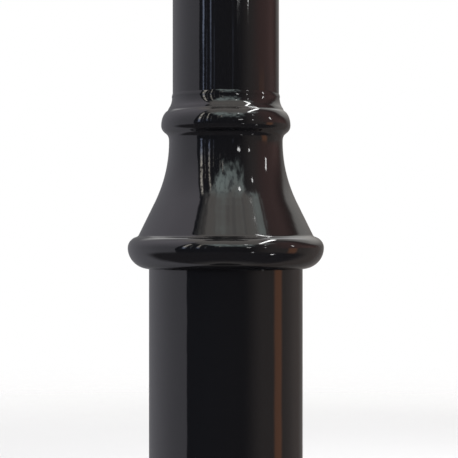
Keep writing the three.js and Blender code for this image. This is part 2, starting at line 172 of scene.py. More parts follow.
def eased(corners, steps=4):
    """A closed outline whose (x, y, radius) corners are rounded; an (x, y) corner stays sharp."""
    made = []
    for i, corner in enumerate(corners):
        here = Vector(corner[:2])
        if len(corner) == 2:
            made.append(tuple(here))
            continue
        before = Vector(corners[i - 1][:2]) - here
        after = Vector(corners[(i + 1) % len(corners)][:2]) - here
        reach = min(corner[2], 0.49 * before.length, 0.49 * after.length)
        start = here + before.normalized() * reach
        end = here + after.normalized() * reach
        made += [curve_point(start, here, end, j / steps) for j in range(steps + 1)]
    return made


def turned(outline, steps, closed=True, angle=TAU):
    """Spins an outline of (radius, height) millimetres round Z."""
    bm = bmesh.new()
    ring = [bm.verts.new((r * MM, 0, h * MM)) for r, h in outline]
    following = ring[1:] + ring[:1] if closed else ring[1:]
    edges = [bm.edges.new(pair) for pair in zip(ring, following)]
    full = angle >= TAU
    bmesh.ops.spin(
        bm,
        geom=ring + edges,
        cent=(0, 0, 0),
        axis=(0, 0, 1),
        dvec=(0, 0, 0),
        angle=angle,
        space=Matrix(),
        steps=steps,
        use_merge=full,
    )
    bmesh.ops.remove_doubles(bm, verts=bm.verts, dist=1e-6)
    if not full:
        bmesh.ops.holes_fill(bm, edges=[e for e in bm.edges if e.is_boundary], sides=0)
    bmesh.ops.recalc_face_normals(bm, faces=bm.faces)
    return bm


def moved(bm, matrix):
    """The same shape somewhere else."""
    bmesh.ops.transform(bm, matrix=matrix, verts=bm.verts)
    if matrix.determinant() < 0:
        bmesh.ops.reverse_faces(bm, faces=bm.faces)
    return bm


def bevelled(bm, edges, width, segments):
    """Rounds the edges given; the width is in metres."""
    bmesh.ops.bevel(
        bm,
        geom=edges,
        offset=width,
        offset_type="OFFSET",
        segments=segments,
        profile=0.5,
        affect="EDGES",
        clamp_overlap=True,
        material=-1,
    )
    return bm


def eased_edges(bm, width, segments=2, angle=30):
    """Rounds every edge sharper than the angle."""
    limit = math.radians(angle)
    sharp = [e for e in bm.edges if len(e.link_faces) == 2 and e.calc_face_angle() > limit]
    return bevelled(bm, sharp, width, segments)


def block(x0, x1, y0, y1, z0, z1, edge=0.0, segments=2):
    """A box between corners in millimetres, with its edges rounded by edge millimetres."""
    bm = bmesh.new()
    bmesh.ops.create_cube(bm, size=1.0)
    size = Matrix.Diagonal(((x1 - x0) * MM, (y1 - y0) * MM, (z1 - z0) * MM, 1))
    middle = Matrix.Translation(Vector((x0 + x1, y0 + y1, z0 + z1)) * (MM / 2))
    moved(bm, middle @ size)
    return eased_edges(bm, edge * MM, segments) if edge else bm


AXES = {
    "X": Matrix.Rotation(math.pi / 2, 4, "Y"),
    "Y": Matrix.Rotation(-math.pi / 2, 4, "X"),
    "Z": Matrix(),
}
TO_FRONT = Matrix.Rotation(math.pi / 2, 4, "X")  # lays what stands on Z so that it faces the front, -Y


def rod(radius, start, end, axis="Z", at=(0, 0), steps=32, edge=0.4):
    """A round bar in millimetres from start to end along an axis; at is its place on the other two."""
    bm = bmesh.new()
    bmesh.ops.create_cone(
        bm,
        cap_ends=True,
        segments=steps,
        radius1=radius * MM,
        radius2=radius * MM,
        depth=(end - start) * MM,
    )
    moved(bm, AXES[axis])
    middle = (start + end) / 2
    place = {"X": (middle, *at), "Y": (at[0], middle, at[1]), "Z": (*at, middle)}[axis]
    moved(bm, Matrix.Translation(Vector(place) * MM))
    return eased_edges(bm, edge * MM, 2, 50) if edge else bm


def plate(outline, bottom, top, edge=0.0, segments=2):
    """A flat outline of (x, y) millimetres, raised from bottom to top along Z."""
    bm = bmesh.new()
    face = bm.faces.new([bm.verts.new((x * MM, y * MM, bottom * MM)) for x, y in outline])
    raised = bmesh.ops.extrude_face_region(bm, geom=[face])["geom"]
    lifted = [v for v in raised if isinstance(v, bmesh.types.BMVert)]
    bmesh.ops.translate(bm, verts=lifted, vec=(0, 0, (top - bottom) * MM))
    bmesh.ops.recalc_face_normals(bm, faces=bm.faces)
    if edge:
        rim = [e for e in bm.edges if abs(e.verts[0].co.z - e.verts[1].co.z) < 1e-7]
        bevelled(bm, rim, edge * MM, segments)
    return bm


def joined(*parts):
    """Several shapes as one."""
    whole = bmesh.new()
    for part in parts:
        mesh = bpy.data.meshes.new("part")
        part.to_mesh(mesh)
        part.free()
        whole.from_mesh(mesh)
        bpy.data.meshes.remove(mesh)
    return whole


def boolean(operation, first, others):
    """The first shape with the others cut out of it or added to it."""
    made = []
    for shape in (first, *others):
        mesh = bpy.data.meshes.new("carving")
        shape.to_mesh(mesh)
        shape.free()
        item = bpy.data.objects.new("carving", mesh)
        bpy.context.scene.collection.objects.link(item)
        made.append(item)
    for other in made[1:]:
        step = made[0].modifiers.new("Step", "BOOLEAN")
        step.operation = operation
        step.solver = "EXACT"
        step.object = other
    graph = bpy.context.evaluated_depsgraph_get()
    result = bpy.data.meshes.new_from_object(made[0].evaluated_get(graph))
    whole = bmesh.new()
    whole.from_mesh(result)
    bpy.data.meshes.remove(result)
    for item in made:
        mesh = item.data
        bpy.data.objects.remove(item)
        bpy.data.meshes.remove(mesh)
    return whole


def carved(bm, *cutters):
    """A shape with other shapes cut out of it."""
    return boolean("DIFFERENCE", bm, cutters)


def turned_about_z(degrees):
    """A turn about the post's axis."""
    return Matrix.Rotation(math.radians(degrees), 4, "Z")


def shifted(x, y, z):
    """A move in millimetres."""
    return Matrix.Translation(Vector((x, y, z)) * MM)


def raised_to(height):
    """A lift to a height in metres."""
    return Matrix.Translation((0, 0, height))


def face_of(side):
    """From a dial's own space (X right, Y up, Z outwards from the drum's middle) to the frame."""
    return raised_to(HEAD_Z) @ Matrix.Rotation(SIDES[side], 4, "Z") @ TO_FRONT


def piece(bm, name, body, finish, nodes=(), crease=35):
    """Makes a finished piece of a shape: it rides on a body and stands for the CAD nodes named."""
    limit = math.radians(crease)
    for face in bm.faces:
        face.smooth = True
    for edge in bm.edges:
        if len(edge.link_faces) == 2 and edge.calc_face_angle(0) > limit:
            edge.smooth = False
    mesh = bpy.data.meshes.new(name)
    bm.to_mesh(mesh)
    bm.free()
    made = bpy.data.objects.new(name, mesh)
    bpy.context.scene.collection.objects.link(made)
    maker, slot = FINISHES[finish]
    mesh.materials.append(maker())
    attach(made, body)
    if nodes:
        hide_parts(*nodes)
    return made


def refinish(finish, *nodes):
    """Gives CAD nodes whose shape is right a finish."""
    for node in nodes:
        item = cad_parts[node]
        if not item.material_slots:
            item.data.materials.append(None)
        item.material_slots[0].link = "OBJECT"
        item.material_slots[0].material = FINISHES[finish][0]()


# ---- Finishes -----------------------------------------------------------------------------------


class Reading:
    """A socket's value. Its operators add the Math nodes that work out a sum."""

    def __init__(self, nodes, socket):
        self.nodes = nodes
        self.socket = socket

    def combined(self, operation, first, second):
        return self.nodes.node("ShaderNodeMath", {"operation": operation}, {0: first, 1: second})

    def __add__(self, other):
        return self.combined("ADD", self, other)

    __radd__ = __add__

    def __sub__(self, other):
        return self.combined("SUBTRACT", self, other)

    def __rsub__(self, other):
        return self.combined("SUBTRACT", other, self)

    def __mul__(self, other):
        return self.combined("MULTIPLY", self, other)

    __rmul__ = __mul__

    def __pow__(self, other):
        return self.combined("POWER", self, other)


class Nodes:
    """A node tree that is filled in by expressions."""

    def __init__(self, tree):
        self.tree = tree

    def node(self, kind, settings=None, inputs=None, output=0):
        """Adds a node: its settings first, then its sockets' values or links."""
        made = self.tree.nodes.new(kind)
        for key, value in (settings or {}).items():
            setattr(made, key, value)
        for key, value in (inputs or {}).items():
            self.join(value, made.inputs[key])
        return Reading(self, made.outputs[output])

    def join(self, value, socket):
        if isinstance(value, Reading):
            self.tree.links.new(value.socket, socket)
        else:
            socket.default_value = value

    def place(self, scale=(1, 1, 1)):
        """Object coordinates, stretched by scale."""
        spot = self.node("ShaderNodeTexCoord", output="Object")
        if scale == (1, 1, 1):
            return spot
        return self.node("ShaderNodeMapping", inputs={"Vector": spot, "Scale": scale})

    def parts(self, vector):
        """The X, Y and Z of a vector."""
        split = self.node("ShaderNodeSeparateXYZ", inputs={0: vector})
        outputs = split.socket.node.outputs
        return [Reading(self, outputs[i]) for i in range(3)]

    def noise(self, place, scale, detail=3.0, roughness=0.55):
        return self.node(
            "ShaderNodeTexNoise",
            inputs={"Vector": place, "Scale": scale, "Detail": detail, "Roughness": roughness},
        )

    def step(self, value, start, end, to_low=0.0, to_high=1.0):
        """Runs smoothly from to_low to to_high as value goes from start to end."""
        return self.node(
            "ShaderNodeMapRange",
            {"interpolation_type": "SMOOTHSTEP"},
            {0: value, 1: start, 2: end, 3: to_low, 4: to_high},
        )

    def mix(self, factor, first, second):
        """A blend of two colours."""
        colours = [c if isinstance(c, Reading) else (*c, 1) for c in (first, second)]
        return self.node(
            "ShaderNodeMix", {"data_type": "RGBA"}, {0: factor, 6: colours[0], 7: colours[1]}, 2
        )


class Finish(Nodes):
    """A material's nodes, round one Principled shader."""

    def __init__(self, name, constants):
        self.material = bpy.data.materials.new(name)
        self.material.use_nodes = True
        super().__init__(self.material.node_tree)
        self.shader = self.tree.nodes["Principled BSDF"]
        for socket, value in constants.items():
            self.shader.inputs[socket].default_value = value

    def feed(self, socket, value):
        self.join(value, self.shader.inputs[socket])

    def relief(self, height, distance, strength=1.0):
        """Bumps the surface by height times distance in metres."""
        bump = self.node(
            "ShaderNodeBump", inputs={"Height": height, "Distance": distance, "Strength": strength}
        )
        self.feed("Normal", bump)


def made_once(maker):
    """Builds a material the first time it is asked for."""
    name = maker.__name__.replace("_", " ").capitalize()

    def ask():
        return bpy.data.materials.get(name) or maker(name)

    return ask


def colour(name):
    return tuple(getattr(bpy.context.scene.street_clock_colours, name))


def black_gloss(name, peel, dust_share):
    """Enamel flowed on wet: near-mirror gloss, faint orange peel, a little dust where it can lie."""
    finish = Finish(name, {"IOR": 1.5})
    place = finish.place()
    cloud = finish.noise(place, 6.0, 5.0)
    flow = finish.noise(place, 38.0, 2.0)
    grain = finish.noise(place, 420.0, 2.0)
    specks = finish.noise(place, 1900.0, 2.0)
    upright = finish.parts(finish.node("ShaderNodeNewGeometry", output="Normal"))[2]
    settled = finish.step(upright, 0.55, 0.98) * finish.step(cloud, 0.36, 0.66)
    dust = (settled + finish.step(specks, 0.70, 0.78) * 0.25) * dust_share
    finish.feed("Base Color", finish.mix(dust, colour("black"), colour("dust")))
    finish.feed("Roughness", 0.035 + cloud * 0.035 + dust * 0.5)
    swell = finish.noise(place, 17.0, 1.0)
    finish.relief(swell * peel * 7.5 + flow * peel + grain * 0.06, 0.0006, 0.35)
    return finish.material


@made_once
def gloss_black_tube(name):
    return black_gloss(name, 0.25, 0.10)


@made_once
def gloss_black_casting(name):
    return black_gloss(name, 0.8, 0.16)


@made_once
def gloss_black_sheet(name):
    return black_gloss(name, 0.5, 0.22)


@made_once
def black_enamel(name):
    """Sprayed satin enamel for hands and dial marks."""
    finish = Finish(name, {"IOR": 1.5})
    place = finish.place()
    cloud = finish.noise(place, 30.0, 4.0)
    finish.feed("Base Color", finish.mix(cloud, (0.004, 0.004, 0.005), (0.012, 0.012, 0.013)))
    finish.feed("Roughness", 0.26 + cloud * 0.16)
    finish.relief(finish.noise(place, 900.0, 2.0), 0.0001, 0.3)
    return finish.material


@made_once
def galvanised_steel(name):
    """Zinc spangle with dull patches."""
    finish = Finish(name, {"Metallic": 0.9})
    place = finish.place()
    spangle = finish.node(
        "ShaderNodeTexVoronoi", {"feature": "F1"}, {"Vector": place, "Scale": 120.0}, "Color"
    )
    tone = finish.parts(spangle)[0]
    cloud = finish.noise(place, 12.0, 5.0)
    zinc = colour("zinc")
    dark = tuple(c * 0.72 for c in zinc)
    finish.feed("Base Color", finish.mix(tone * 0.7 + cloud * 0.3, dark, zinc))
    finish.feed("Roughness", 0.34 + tone * 0.18 + cloud * 0.1)
    finish.relief(cloud + tone * 0.2, 0.0003, 0.4)
    return finish.material


@made_once
def stainless_steel(name):
    """Turned steel: fine rings of tool marks, a few duller smears."""
    finish = Finish(name, {"Metallic": 1.0})
    place = finish.place()
    marks = finish.noise(finish.place((1, 1, 30)), 160.0, 3.0)
    cloud = finish.noise(place, 70.0, 3.0)
    steel = colour("steel")
    finish.feed("Base Color", finish.mix(cloud, tuple(c * 0.8 for c in steel), steel))
    finish.feed("Roughness", 0.2 + marks * 0.14 + cloud * 0.08)
    finish.relief(marks, 0.0001, 0.3)
    return finish.material


@made_once
def turned_brass(name):
    finish = Finish(name, {"Metallic": 1.0})
    cloud = finish.noise(finish.place(), 90.0, 4.0)
    brass = colour("brass")
    finish.feed("Base Color", finish.mix(cloud, tuple(c * 0.7 for c in brass), brass))
    finish.feed("Roughness", 0.22 + cloud * 0.2)
    finish.relief(cloud, 0.0001, 0.3)
    return finish.material


@made_once
def opal_acrylic(name):
    """Milky sheet with a random yellowish tint, and painted shade that darkens and yellows it towards the rim
    under the bezel.
    """
    finish = Finish(name, {"IOR": 1.49})
    place = finish.place()
    cloud = finish.noise(place, 5.0, 4.0)
    x, _, z = finish.parts(place)
    height = z - HEAD_Z
    # painted shade: the dial turns darker and yellower towards its rim, where the bezel overhangs it
    rim = finish.step(x * x + height * height, 0.08, 0.14)
    white = colour("dial")
    # this darker, yellower tone serves the random tint and the painted shade at the rim
    yellowed_and_shaded = (white[0] * 0.97, white[1] * 0.94, white[2] * 0.86)
    finish.feed("Base Color", finish.mix(cloud * 0.5 + rim * 0.3, white, yellowed_and_shaded))
    finish.feed("Roughness", 0.3 + cloud * 0.12)
    finish.relief(finish.noise(place, 260.0, 2.0), 0.0002, 0.15)
    return finish.material


@made_once
def clear_glass(name):
    """Flat toughened glass with rain specks."""
    finish = Finish(
        name, {"Base Color": (0.93, 0.97, 0.96, 1), "Transmission Weight": 1.0, "IOR": 1.45}
    )
    place = finish.place()
    specks = finish.step(finish.noise(place, 300.0, 2.0), 0.66, 0.78)
    finish.feed("Roughness", specks * 0.12)
    return finish.material


@made_once
def sponge_rubber(name):
    finish = Finish(name, {"Specular IOR Level": 0.3})
    place = finish.place()
    pores = finish.noise(place, 900.0, 3.0)
    finish.feed("Base Color", finish.mix(pores, (0.006, 0.006, 0.006), (0.028, 0.027, 0.026)))
    finish.feed("Roughness", 0.7 + pores * 0.25)
    finish.relief(pores, 0.0006, 0.6)
    return finish.material


@made_once
def grey_housing(name):
    """Moulded plastic with a fine spark texture."""
    finish = Finish(name, {"IOR": 1.5})
    place = finish.place()
    spark = finish.noise(place, 1500.0, 3.0)
    cloud = finish.noise(place, 18.0, 3.0)
    plastic = colour("plastic")
    finish.feed("Base Color", finish.mix(cloud, plastic, tuple(c * 0.85 for c in plastic)))
    finish.feed("Roughness", 0.42 + spark * 0.2)
    finish.relief(spark, 0.0002, 0.4)
    return finish.material


@made_once
def white_board(name):
    finish = Finish(name, {"IOR": 1.5})
    place = finish.place()
    cloud = finish.noise(place, 60.0, 3.0)
    finish.feed("Base Color", finish.mix(cloud, (0.82, 0.82, 0.78), (0.72, 0.73, 0.7)))
    finish.feed("Roughness", 0.3 + cloud * 0.2)
    finish.relief(cloud, 0.0001, 0.3)
    return finish.material


FINISHES = {
    "tube": (gloss_black_tube, "black_paint"),
    "casting": (gloss_black_casting, "black_paint"),
    "sheet": (gloss_black_sheet, "black_paint"),
    "enamel": (black_enamel, "hand_enamel"),
    "zinc": (galvanised_steel, "galvanised"),
    "steel": (stainless_steel, "stainless"),
    "brass": (turned_brass, "brass"),
    "dial": (opal_acrylic, "dial_face"),
    "glass": (clear_glass, "clear_glass"),
    "rubber": (sponge_rubber, "seal_rubber"),
    "plastic": (grey_housing, "grey_plastic"),
    "board": (white_board, "light_board"),
}


# ---- Small hardware -----------------------------------------------------------------------------


def button_screw(radius, height, steps=24):
    """A domed socket-head screw on Z = 0, with a six-sided socket, in millimetres."""
    dome = arc(0, 0, radius, height, 0, 90, 6)
    head = turned([(0, -1.5), (radius * 0.96, -1.5), *dome], steps, closed=False)
    socket = rod(radius * 0.42, height * 0.35, height * 2, steps=6, edge=0)
    return carved(head, socket)


def hex_bolt(across, height):
    """A six-sided bolt head on a washer, standing on Z = 0, in millimetres."""
    washer = rod(across * 0.72, 0, 2.0, steps=32, edge=0.3)
    head = rod(across / math.sqrt(3), 2.0, 2.0 + height, steps=6, edge=0.7)
    return joined(washer, head)


def standing_on(radius, degrees, height):
    """Puts a shape's Z = 0 on a round post of a radius in metres, facing out at an angle from -Y."""
    return turned_about_z(degrees) @ Matrix.Translation((0, -radius, height)) @ TO_FRONT


# ---- Pieces -------------------------------------------------------------------------------------


def collar_outline(steps):
    """Outside of the bell collar in millimetres, from its underside up."""
    return [
        *arc(82, 24, 23.3, 22.7, -88, 0, steps * 2),
        *arc(92, 24, 13.3, 12.3, 0, 74, steps)[1:],
        (94.7, 36.3),
        (93.8, 37.1),
        (93.2, 38.4),
        (75.2, 75),
        *arc(61.1 + 147.2, 138, 147.2, 147.2, 205.3, 180, steps * 3)[1:],
        (61.2, 140.2),
        (61.6, 142.4),
        (62.6, 144.6),
        (64.2, 146.2),
        *arc(60, 155, 9.5, 9.5, -50, 0, steps),
        *arc(60, 155, 9.5, 16.3, 0, 74, steps)[1:],
        (62.2, 171.6),
        (61.5, 173.2),
        *arc(64.5, COLLAR_HEIGHT, 6.7, 14, 236, 180, steps + 2),
    ]


class STREETCLOCK_OT_collar(bpy.types.Operator):
    """Turn the moulded bell collar that joins the lower tube to the shaft"""

    bl_idname = "street_clock.collar"
    bl_label = "Collar"

    def execute(self, context):
        sizes = context.scene.street_clock_sizes
        bore = UPPER_R / MM + 0.3
        lower = LOWER_R / MM + 0.3
        inside = [(bore, COLLAR_HEIGHT), (bore, 93), (lower, 42), (lower, 1.4)]
        shape = turned(collar_outline(8) + inside, sizes.round_steps)
        piece(moved(shape, raised_to(COLLAR_Z)), "bell_collar", "post", "casting", ["post_collar"])
        joint = COLLAR_HEIGHT
        seal = [
            (bore - 0.2, joint - 0.8),
            (bore + 0.7, joint - 0.8),
            (bore + 0.5, joint + 1),
            (bore, joint + 2.8),
            (bore - 0.2, joint + 2.8),
        ]
        bead = turned(seal, sizes.round_steps)
        for vert in bead.verts:
            turn = math.atan2(vert.co.y, vert.co.x)
            wave = math.sin(7 * turn + 0.6) + 0.6 * math.sin(17 * turn) + 0.4 * math.sin(31 * turn + 2)
            vert.co.z += 0.3 * MM * wave
        piece(moved(bead, raised_to(COLLAR_Z)), "collar_joint_bead", "post", "casting")
        return {"FINISHED"}


SCREW_FOOT = 58.6  # distance of a collar screw's inner end from the post's axis


class STREETCLOCK_OT_collar_screws(bpy.types.Operator):
    """Set the two grub screws in the back of the collar's neck"""

    bl_idname = "street_clock.collar_screws"
    bl_label = "Collar screws"

    def execute(self, context):
        for name in ("collar_screw_left", "collar_screw_right"):
            middle = (low(name) + high(name)) / 2
            heading = math.degrees(math.atan2(middle.x, -middle.y))
            screw = carved(
                rod(4.0, 0, 6.0, steps=28, edge=0.6),
                rod(2.3, 2.5, 8.0, steps=6, edge=0),
            )
            place = standing_on(SCREW_FOOT * MM, heading, middle.z)
            piece(moved(screw, place), f"{name}_socket", "post", "steel", [name])
        return {"FINISHED"}


def wall(radius, thickness, heights):
    """A tube in millimetres whose outside has a ring of points at each height."""
    outside = [(radius, h) for h in heights]
    inside = [(radius - thickness, h) for h in reversed(heights)]
    return outside + inside


class STREETCLOCK_OT_tubes(bpy.types.Operator):
    """Draw the lower tube with its door opening, and the slimmer shaft"""

    bl_idname = "street_clock.tubes"
    bl_label = "Tubes"

    def execute(self, context):
        steps = context.scene.street_clock_sizes.round_steps
        foot = low("lower_tube").z / MM
        top = high("lower_tube").z / MM
        lap = 15
        door = (DOOR_LOW / MM + lap, DOOR_HIGH / MM - lap)
        heights = [foot, door[0] - 20, door[1] + 20, top]
        corners = [(-40, door[0], 9), (40, door[0], 9), (40, door[1], 9), (-40, door[1], 9)]
        opening = moved(plate(eased(corners, 6), 20, 120), TO_FRONT)
        tube = carved(turned(wall(LOWER_R / MM, 5, heights), steps), opening)
        piece(tube, "lower_post_tube", "post", "tube", ["lower_tube"])
        shaft = turned(
            wall(UPPER_R / MM, 4, [low("upper_shaft").z / MM, high("upper_shaft").z / MM]), steps
        )
        piece(shaft, "upper_post_shaft", "post", "tube", ["upper_shaft"])
        return {"FINISHED"}


def cover_outline():
    """The base cover's section in millimetres: plinth, torus, hollow bell and neck ring."""
    return [
        (220, 0),
        (220, 40),
        *arc(216, 40, 4, 4, 0, 90, 5)[1:],
        (213, 44),
        (212.4, 47),
        (213, 50),
        *arc(200, 68, 18.5, 18, -50, 80, 14),
        (202, 86.4),
        (198, 87.4),
        *arc(192, 305, 93, 216, -90, -180, 36),
        (99.4, 306),
        *arc(97, 318, 12.5, 11.5, -70, 80, 14),
        (96, 330.5),
        *arc(96, 334, 8, 3.5, -90, -180, 5)[1:],
        (83.2, 334),
        (83.2, 300),
        *arc(192, 305, 100, 222, -176, -90, 24),
        (200, 72),
        (200, 34),
        (209, 24),
        (209, 0),
    ]


class STREETCLOCK_OT_base_cover(bpy.types.Operator):
    """Turn the cast base cover, part it into halves and screw them together"""

    bl_idname = "street_clock.base_cover"
    bl_label = "Base cover"

    def execute(self, context):
        steps = context.scene.street_clock_sizes.round_steps
        gap = 0.3 * MM
        for name, facing in (("front", -1), ("rear", 1)):
            half = turned(cover_outline(), steps)
            parted = bmesh.ops.bisect_plane(
                half,
                geom=half.verts[:] + half.edges[:] + half.faces[:],
                plane_co=(0, facing * gap, 0),
                plane_no=(0, -facing, 0),
                clear_outer=True,
            )
            seam = [e for e in parted["geom_cut"] if isinstance(e, bmesh.types.BMEdge)]
            bmesh.ops.edgenet_fill(half, edges=seam)
            bmesh.ops.recalc_face_normals(half, faces=half.faces)
            piece(half, f"cast_base_cover_{name}", "post", "casting", [f"base_cover_{name}"])
        screws = []
        for degrees in (-96, -84, 84, 96):
            for radius, height in ((220, 22), (218.4, 70)):
                place = standing_on((radius - 0.6) * MM, degrees, height * MM)
                screws.append(moved(button_screw(6.0, 3.2), place))
        piece(joined(*screws), "base_cover_screws", "post", "steel")
        refinish("zinc", "base_plate", "shaft_reducer", *(f"anchor_bolt_{i}" for i in range(1, 5)))
        return {"FINISHED"}


# ---- Access door --------------------------------------------------------------------------------

DOOR_HINGE_DEG = -41
DOOR_LOCK_DEG = 20
DOOR_HALF_DEG = 36
HINGE_R = LOWER_R / MM + 4.9
LOCK_Z = (DOOR_LOW + DOOR_HIGH) / 2 / MM
KNUCKLES = (DOOR_LOW / MM + 70, DOOR_LOW / MM + 370)


def curved_strip(inner, outer, start, end, bottom, top, steps=48):
    """A panel bent round the post, in millimetres, between two angles from -Y towards +X."""
    section = [(inner, bottom), (outer, bottom), (outer, top), (inner, top)]
    strip = turned(section, steps, angle=math.radians(end - start))
    return moved(strip, turned_about_z(start - 90))


def rounded_corners(bm, radius, outer):
    """Rounds the four outline corners of a curved panel: the short edges across its thickness."""
    short = [e for e in bm.edges if e.calc_length() < outer * MM and e.is_manifold]
    corner = []
    for edge in short:
        a, b = (v.co for v in edge.verts)
        flat = abs(a.z - b.z) < 1e-6
        across = abs(a.xy.length - b.xy.length) > 1e-4
        if flat and across and edge.calc_face_angle() > 1.0:
            corner.append(edge)
    return bevelled(bm, corner, radius * MM, 5)


class STREETCLOCK_OT_access_door(bpy.types.Operator):
    """Bend the access door round the tube, with its knuckles and rain lip"""

    bl_idname = "street_clock.access_door"
    bl_label = "Access door"

    def execute(self, context):
        inner = LOWER_R / MM + 0.4
        bottom = DOOR_LOW / MM
        top = DOOR_HIGH / MM
        leaf = curved_strip(inner, inner + 3, -DOOR_HALF_DEG, DOOR_HALF_DEG, bottom, top)
        leaf = eased_edges(rounded_corners(leaf, 8, 4), 0.7 * MM, 2, 50)
        lock_hole = moved(rod(8.6, 60, 100, "Y"), turned_about_z(180))
        lock_hole = moved(lock_hole, turned_about_z(DOOR_LOCK_DEG) @ raised_to(LOCK_Z * MM))
        leaf = carved(leaf, lock_hole)
        hinged = []
        for start in KNUCKLES:
            hinged.append(rod(4.2, start, start + 14.6, at=(0, -HINGE_R), edge=0.5))
            hinged.append(block(0, 9, -HINGE_R - 1.6, -HINGE_R + 2.6, start, start + 14.6, 0.5))
        knuckles = moved(joined(*hinged), turned_about_z(DOOR_HINGE_DEG))
        piece(joined(leaf, knuckles), "door_leaf", "access_door", "tube", ["access_door"])
        self.fixed_half(bottom, top)
        return {"FINISHED"}

    def fixed_half(self, bottom, top):
        """The bracket, pins and the rain lip, which stay on the tube."""
        inner = LOWER_R / MM + 0.3
        strap = curved_strip(inner, inner + 3.1, -14, -5, bottom + 60, top - 60, 6)
        parts = [eased_edges(strap, 0.6 * MM, 2, 50)]
        pins = []
        for start in KNUCKLES:
            parts.append(rod(4.2, start + 15, start + 30, at=(0, -HINGE_R), edge=0.5))
            parts.append(block(-9, 0, -HINGE_R - 1, -HINGE_R + 3.6, start + 15, start + 30, 0.5))
            pins.append(rod(2.6, start - 1.2, start + 31.2, at=(0, -HINGE_R), edge=0.6))
        turn = turned_about_z(DOOR_HINGE_DEG)
        piece(moved(joined(*parts), turn), "door_hinge_strap", "post", "tube", ["door_hinge_bracket"])
        piece(moved(joined(*pins), turn), "door_hinge_pins", "post", "steel", ["door_hinge_pin"])
        lip = curved_strip(inner - 0.4, inner + 4.6, -40, 40, top + 4, top + 8, 64)
        piece(eased_edges(lip, 1.4 * MM, 3, 50), "door_rain_lip", "post", "tube")


class STREETCLOCK_OT_door_lock(bpy.types.Operator):
    """Turn the triangular utility lock and its cam"""

    bl_idname = "street_clock.door_lock"
    bl_label = "Door lock"

    def execute(self, context):
        face = LOWER_R / MM + 3.8
        recess = [(0, face + 1.0), (6, face + 1.0), (6, 90.0)]
        rim = [(11, 90.0, 1.2), (11, face, 0.4), (8, face)]
        cup = eased([*recess, *rim, (8, 73), (0, 73)])
        barrel = turned(cup, 48, closed=False)
        key = rod(3.6, face + 0.6, face + 3.4, steps=3, edge=0.4)
        stem = rod(3.5, 66, 75, steps=24)
        tongue = block(-27, 5, -5, 5, 66, 69.5, 0.8)
        nut = rod(6.2, 69.6, 73, steps=6, edge=0.4)
        place = turned_about_z(DOOR_LOCK_DEG) @ raised_to(LOCK_Z * MM) @ TO_FRONT
        moved(tongue, Matrix.Rotation(-math.pi / 2, 4, "Z"))
        lock = joined(barrel, key, stem, tongue, nut)
        piece(moved(lock, place), "utility_lock", "door_lock", "steel", ["door_lock"])
        return {"FINISHED"}


class STREETCLOCK_OT_post_gear(bpy.types.Operator):
    """Fit the isolator and the controller behind the access door"""

    bl_idname = "street_clock.post_gear"
    bl_label = "Gear in the post"

    def execute(self, context):
        board = [c for corner in zip(low("backboard") / MM, high("backboard") / MM) for c in corner]
        piece(block(*board, 1.0), "mounting_board", "post", "plastic", ["backboard"])
        self.isolator()
        self.controller()
        refinish("plastic", "cable_conduit")
        return {"FINISHED"}

    def isolator(self):
        """A box with a lid seam, a rocker, lid screws and a gland."""
        a = low("isolator_box") / MM
        b = high("isolator_box") / MM
        case = block(a.x, b.x, a.y + 14, b.y, a.z, b.z, 2.5, 3)
        lid = block(a.x + 0.4, b.x - 0.4, a.y + 2.5, a.y + 13.6, a.z + 0.4, b.z - 0.4, 3, 3)
        frame_ring = block(-13, 13, a.y + 0.6, a.y + 4, a.z + 40, a.z + 82, 1.0)
        rocker = block(-9, 9, a.y, a.y + 5, a.z + 46, a.z + 76, 1.6, 3)
        screws = []
        for x in (a.x + 7, b.x - 7):
            for z in (a.z + 8, b.z - 8):
                head = moved(button_screw(3.2, 1.4, 16), TO_FRONT)
                screws.append(moved(head, shifted(x, a.y + 2.6, z)))
        gland = rod(9, a.z - 9, a.z + 1, at=(-10, a.y + 26), steps=8, edge=0.6)
        neck = rod(6.5, a.z - 15, a.z - 8, at=(-10, a.y + 26), edge=0.8)
        body = joined(case, lid, frame_ring, rocker, gland, neck)
        piece(body, "isolator", "post", "plastic", ["isolator_box"])
        piece(joined(*screws), "isolator_lid_screws", "post", "steel")

    def controller(self):
        """A case with a small window, three keys and a row of clamps."""
        a = low("clock_controller") / MM
        b = high("clock_controller") / MM
        case = block(a.x, b.x, a.y + 3, b.y, a.z, b.z, 2.2, 3)
        bezel = block(a.x + 8, b.x - 8, a.y + 1.2, a.y + 5, a.z + 52, a.z + 78, 1.2)
        keys = [block(x - 5, x + 5, a.y + 0.6, a.y + 5, a.z + 30, a.z + 38, 1.2) for x in (-15, 0, 15)]
        piece(joined(case, bezel, *keys), "timing_unit", "post", "plastic", ["clock_controller"])
        window = block(a.x + 11, b.x - 11, a.y + 0.7, a.y + 2.0, a.z + 55, a.z + 75, 0.5)
        piece(window, "timing_unit_window", "post", "enamel")
        clamps = []
        for x in range(-20, 21, 8):
            place = shifted(x, a.y + 3, a.z + 10)
            clamp = rod(2.2, 0, 1.6, steps=20, edge=0.3)
            clamps.append(moved(clamp, place @ TO_FRONT))
        piece(joined(*clamps), "timing_unit_clamps", "post", "brass")


# ---- Below the head -----------------------------------------------------------------------------


def volute(cx, cy, radius, end, turns, steps):
    """A spiral in millimetres from its eye outwards, clockwise, ending at an angle in degrees."""
    made = []
    for i in range(steps + 1):
        share = i / steps
        r = radius * (0.24 + 0.76 * share**0.8)
        angle = math.radians(end + (1 - share) * turns * 360)
        made.append(Vector((cx + r * math.cos(angle), cy + r * math.sin(angle))))
    return made


def through(points, steps):
    """A smooth line through points (a Catmull-Rom curve), with that many steps for each stretch."""
    padded = [points[0] * 2 - points[1], *points, points[-1] * 2 - points[-2]]
    made = []
    for i in range(len(points) - 1):
        a, b, c, d = padded[i : i + 4]
        for j in range(steps):
            t = j / steps
            bend = (2 * a - 5 * b + 4 * c - d) * t**2
            twist = (3 * b - a - 3 * c + d) * t**3
            made.append(0.5 * (2 * b + (c - a) * t + bend + twist))
    return made + [points[-1]]


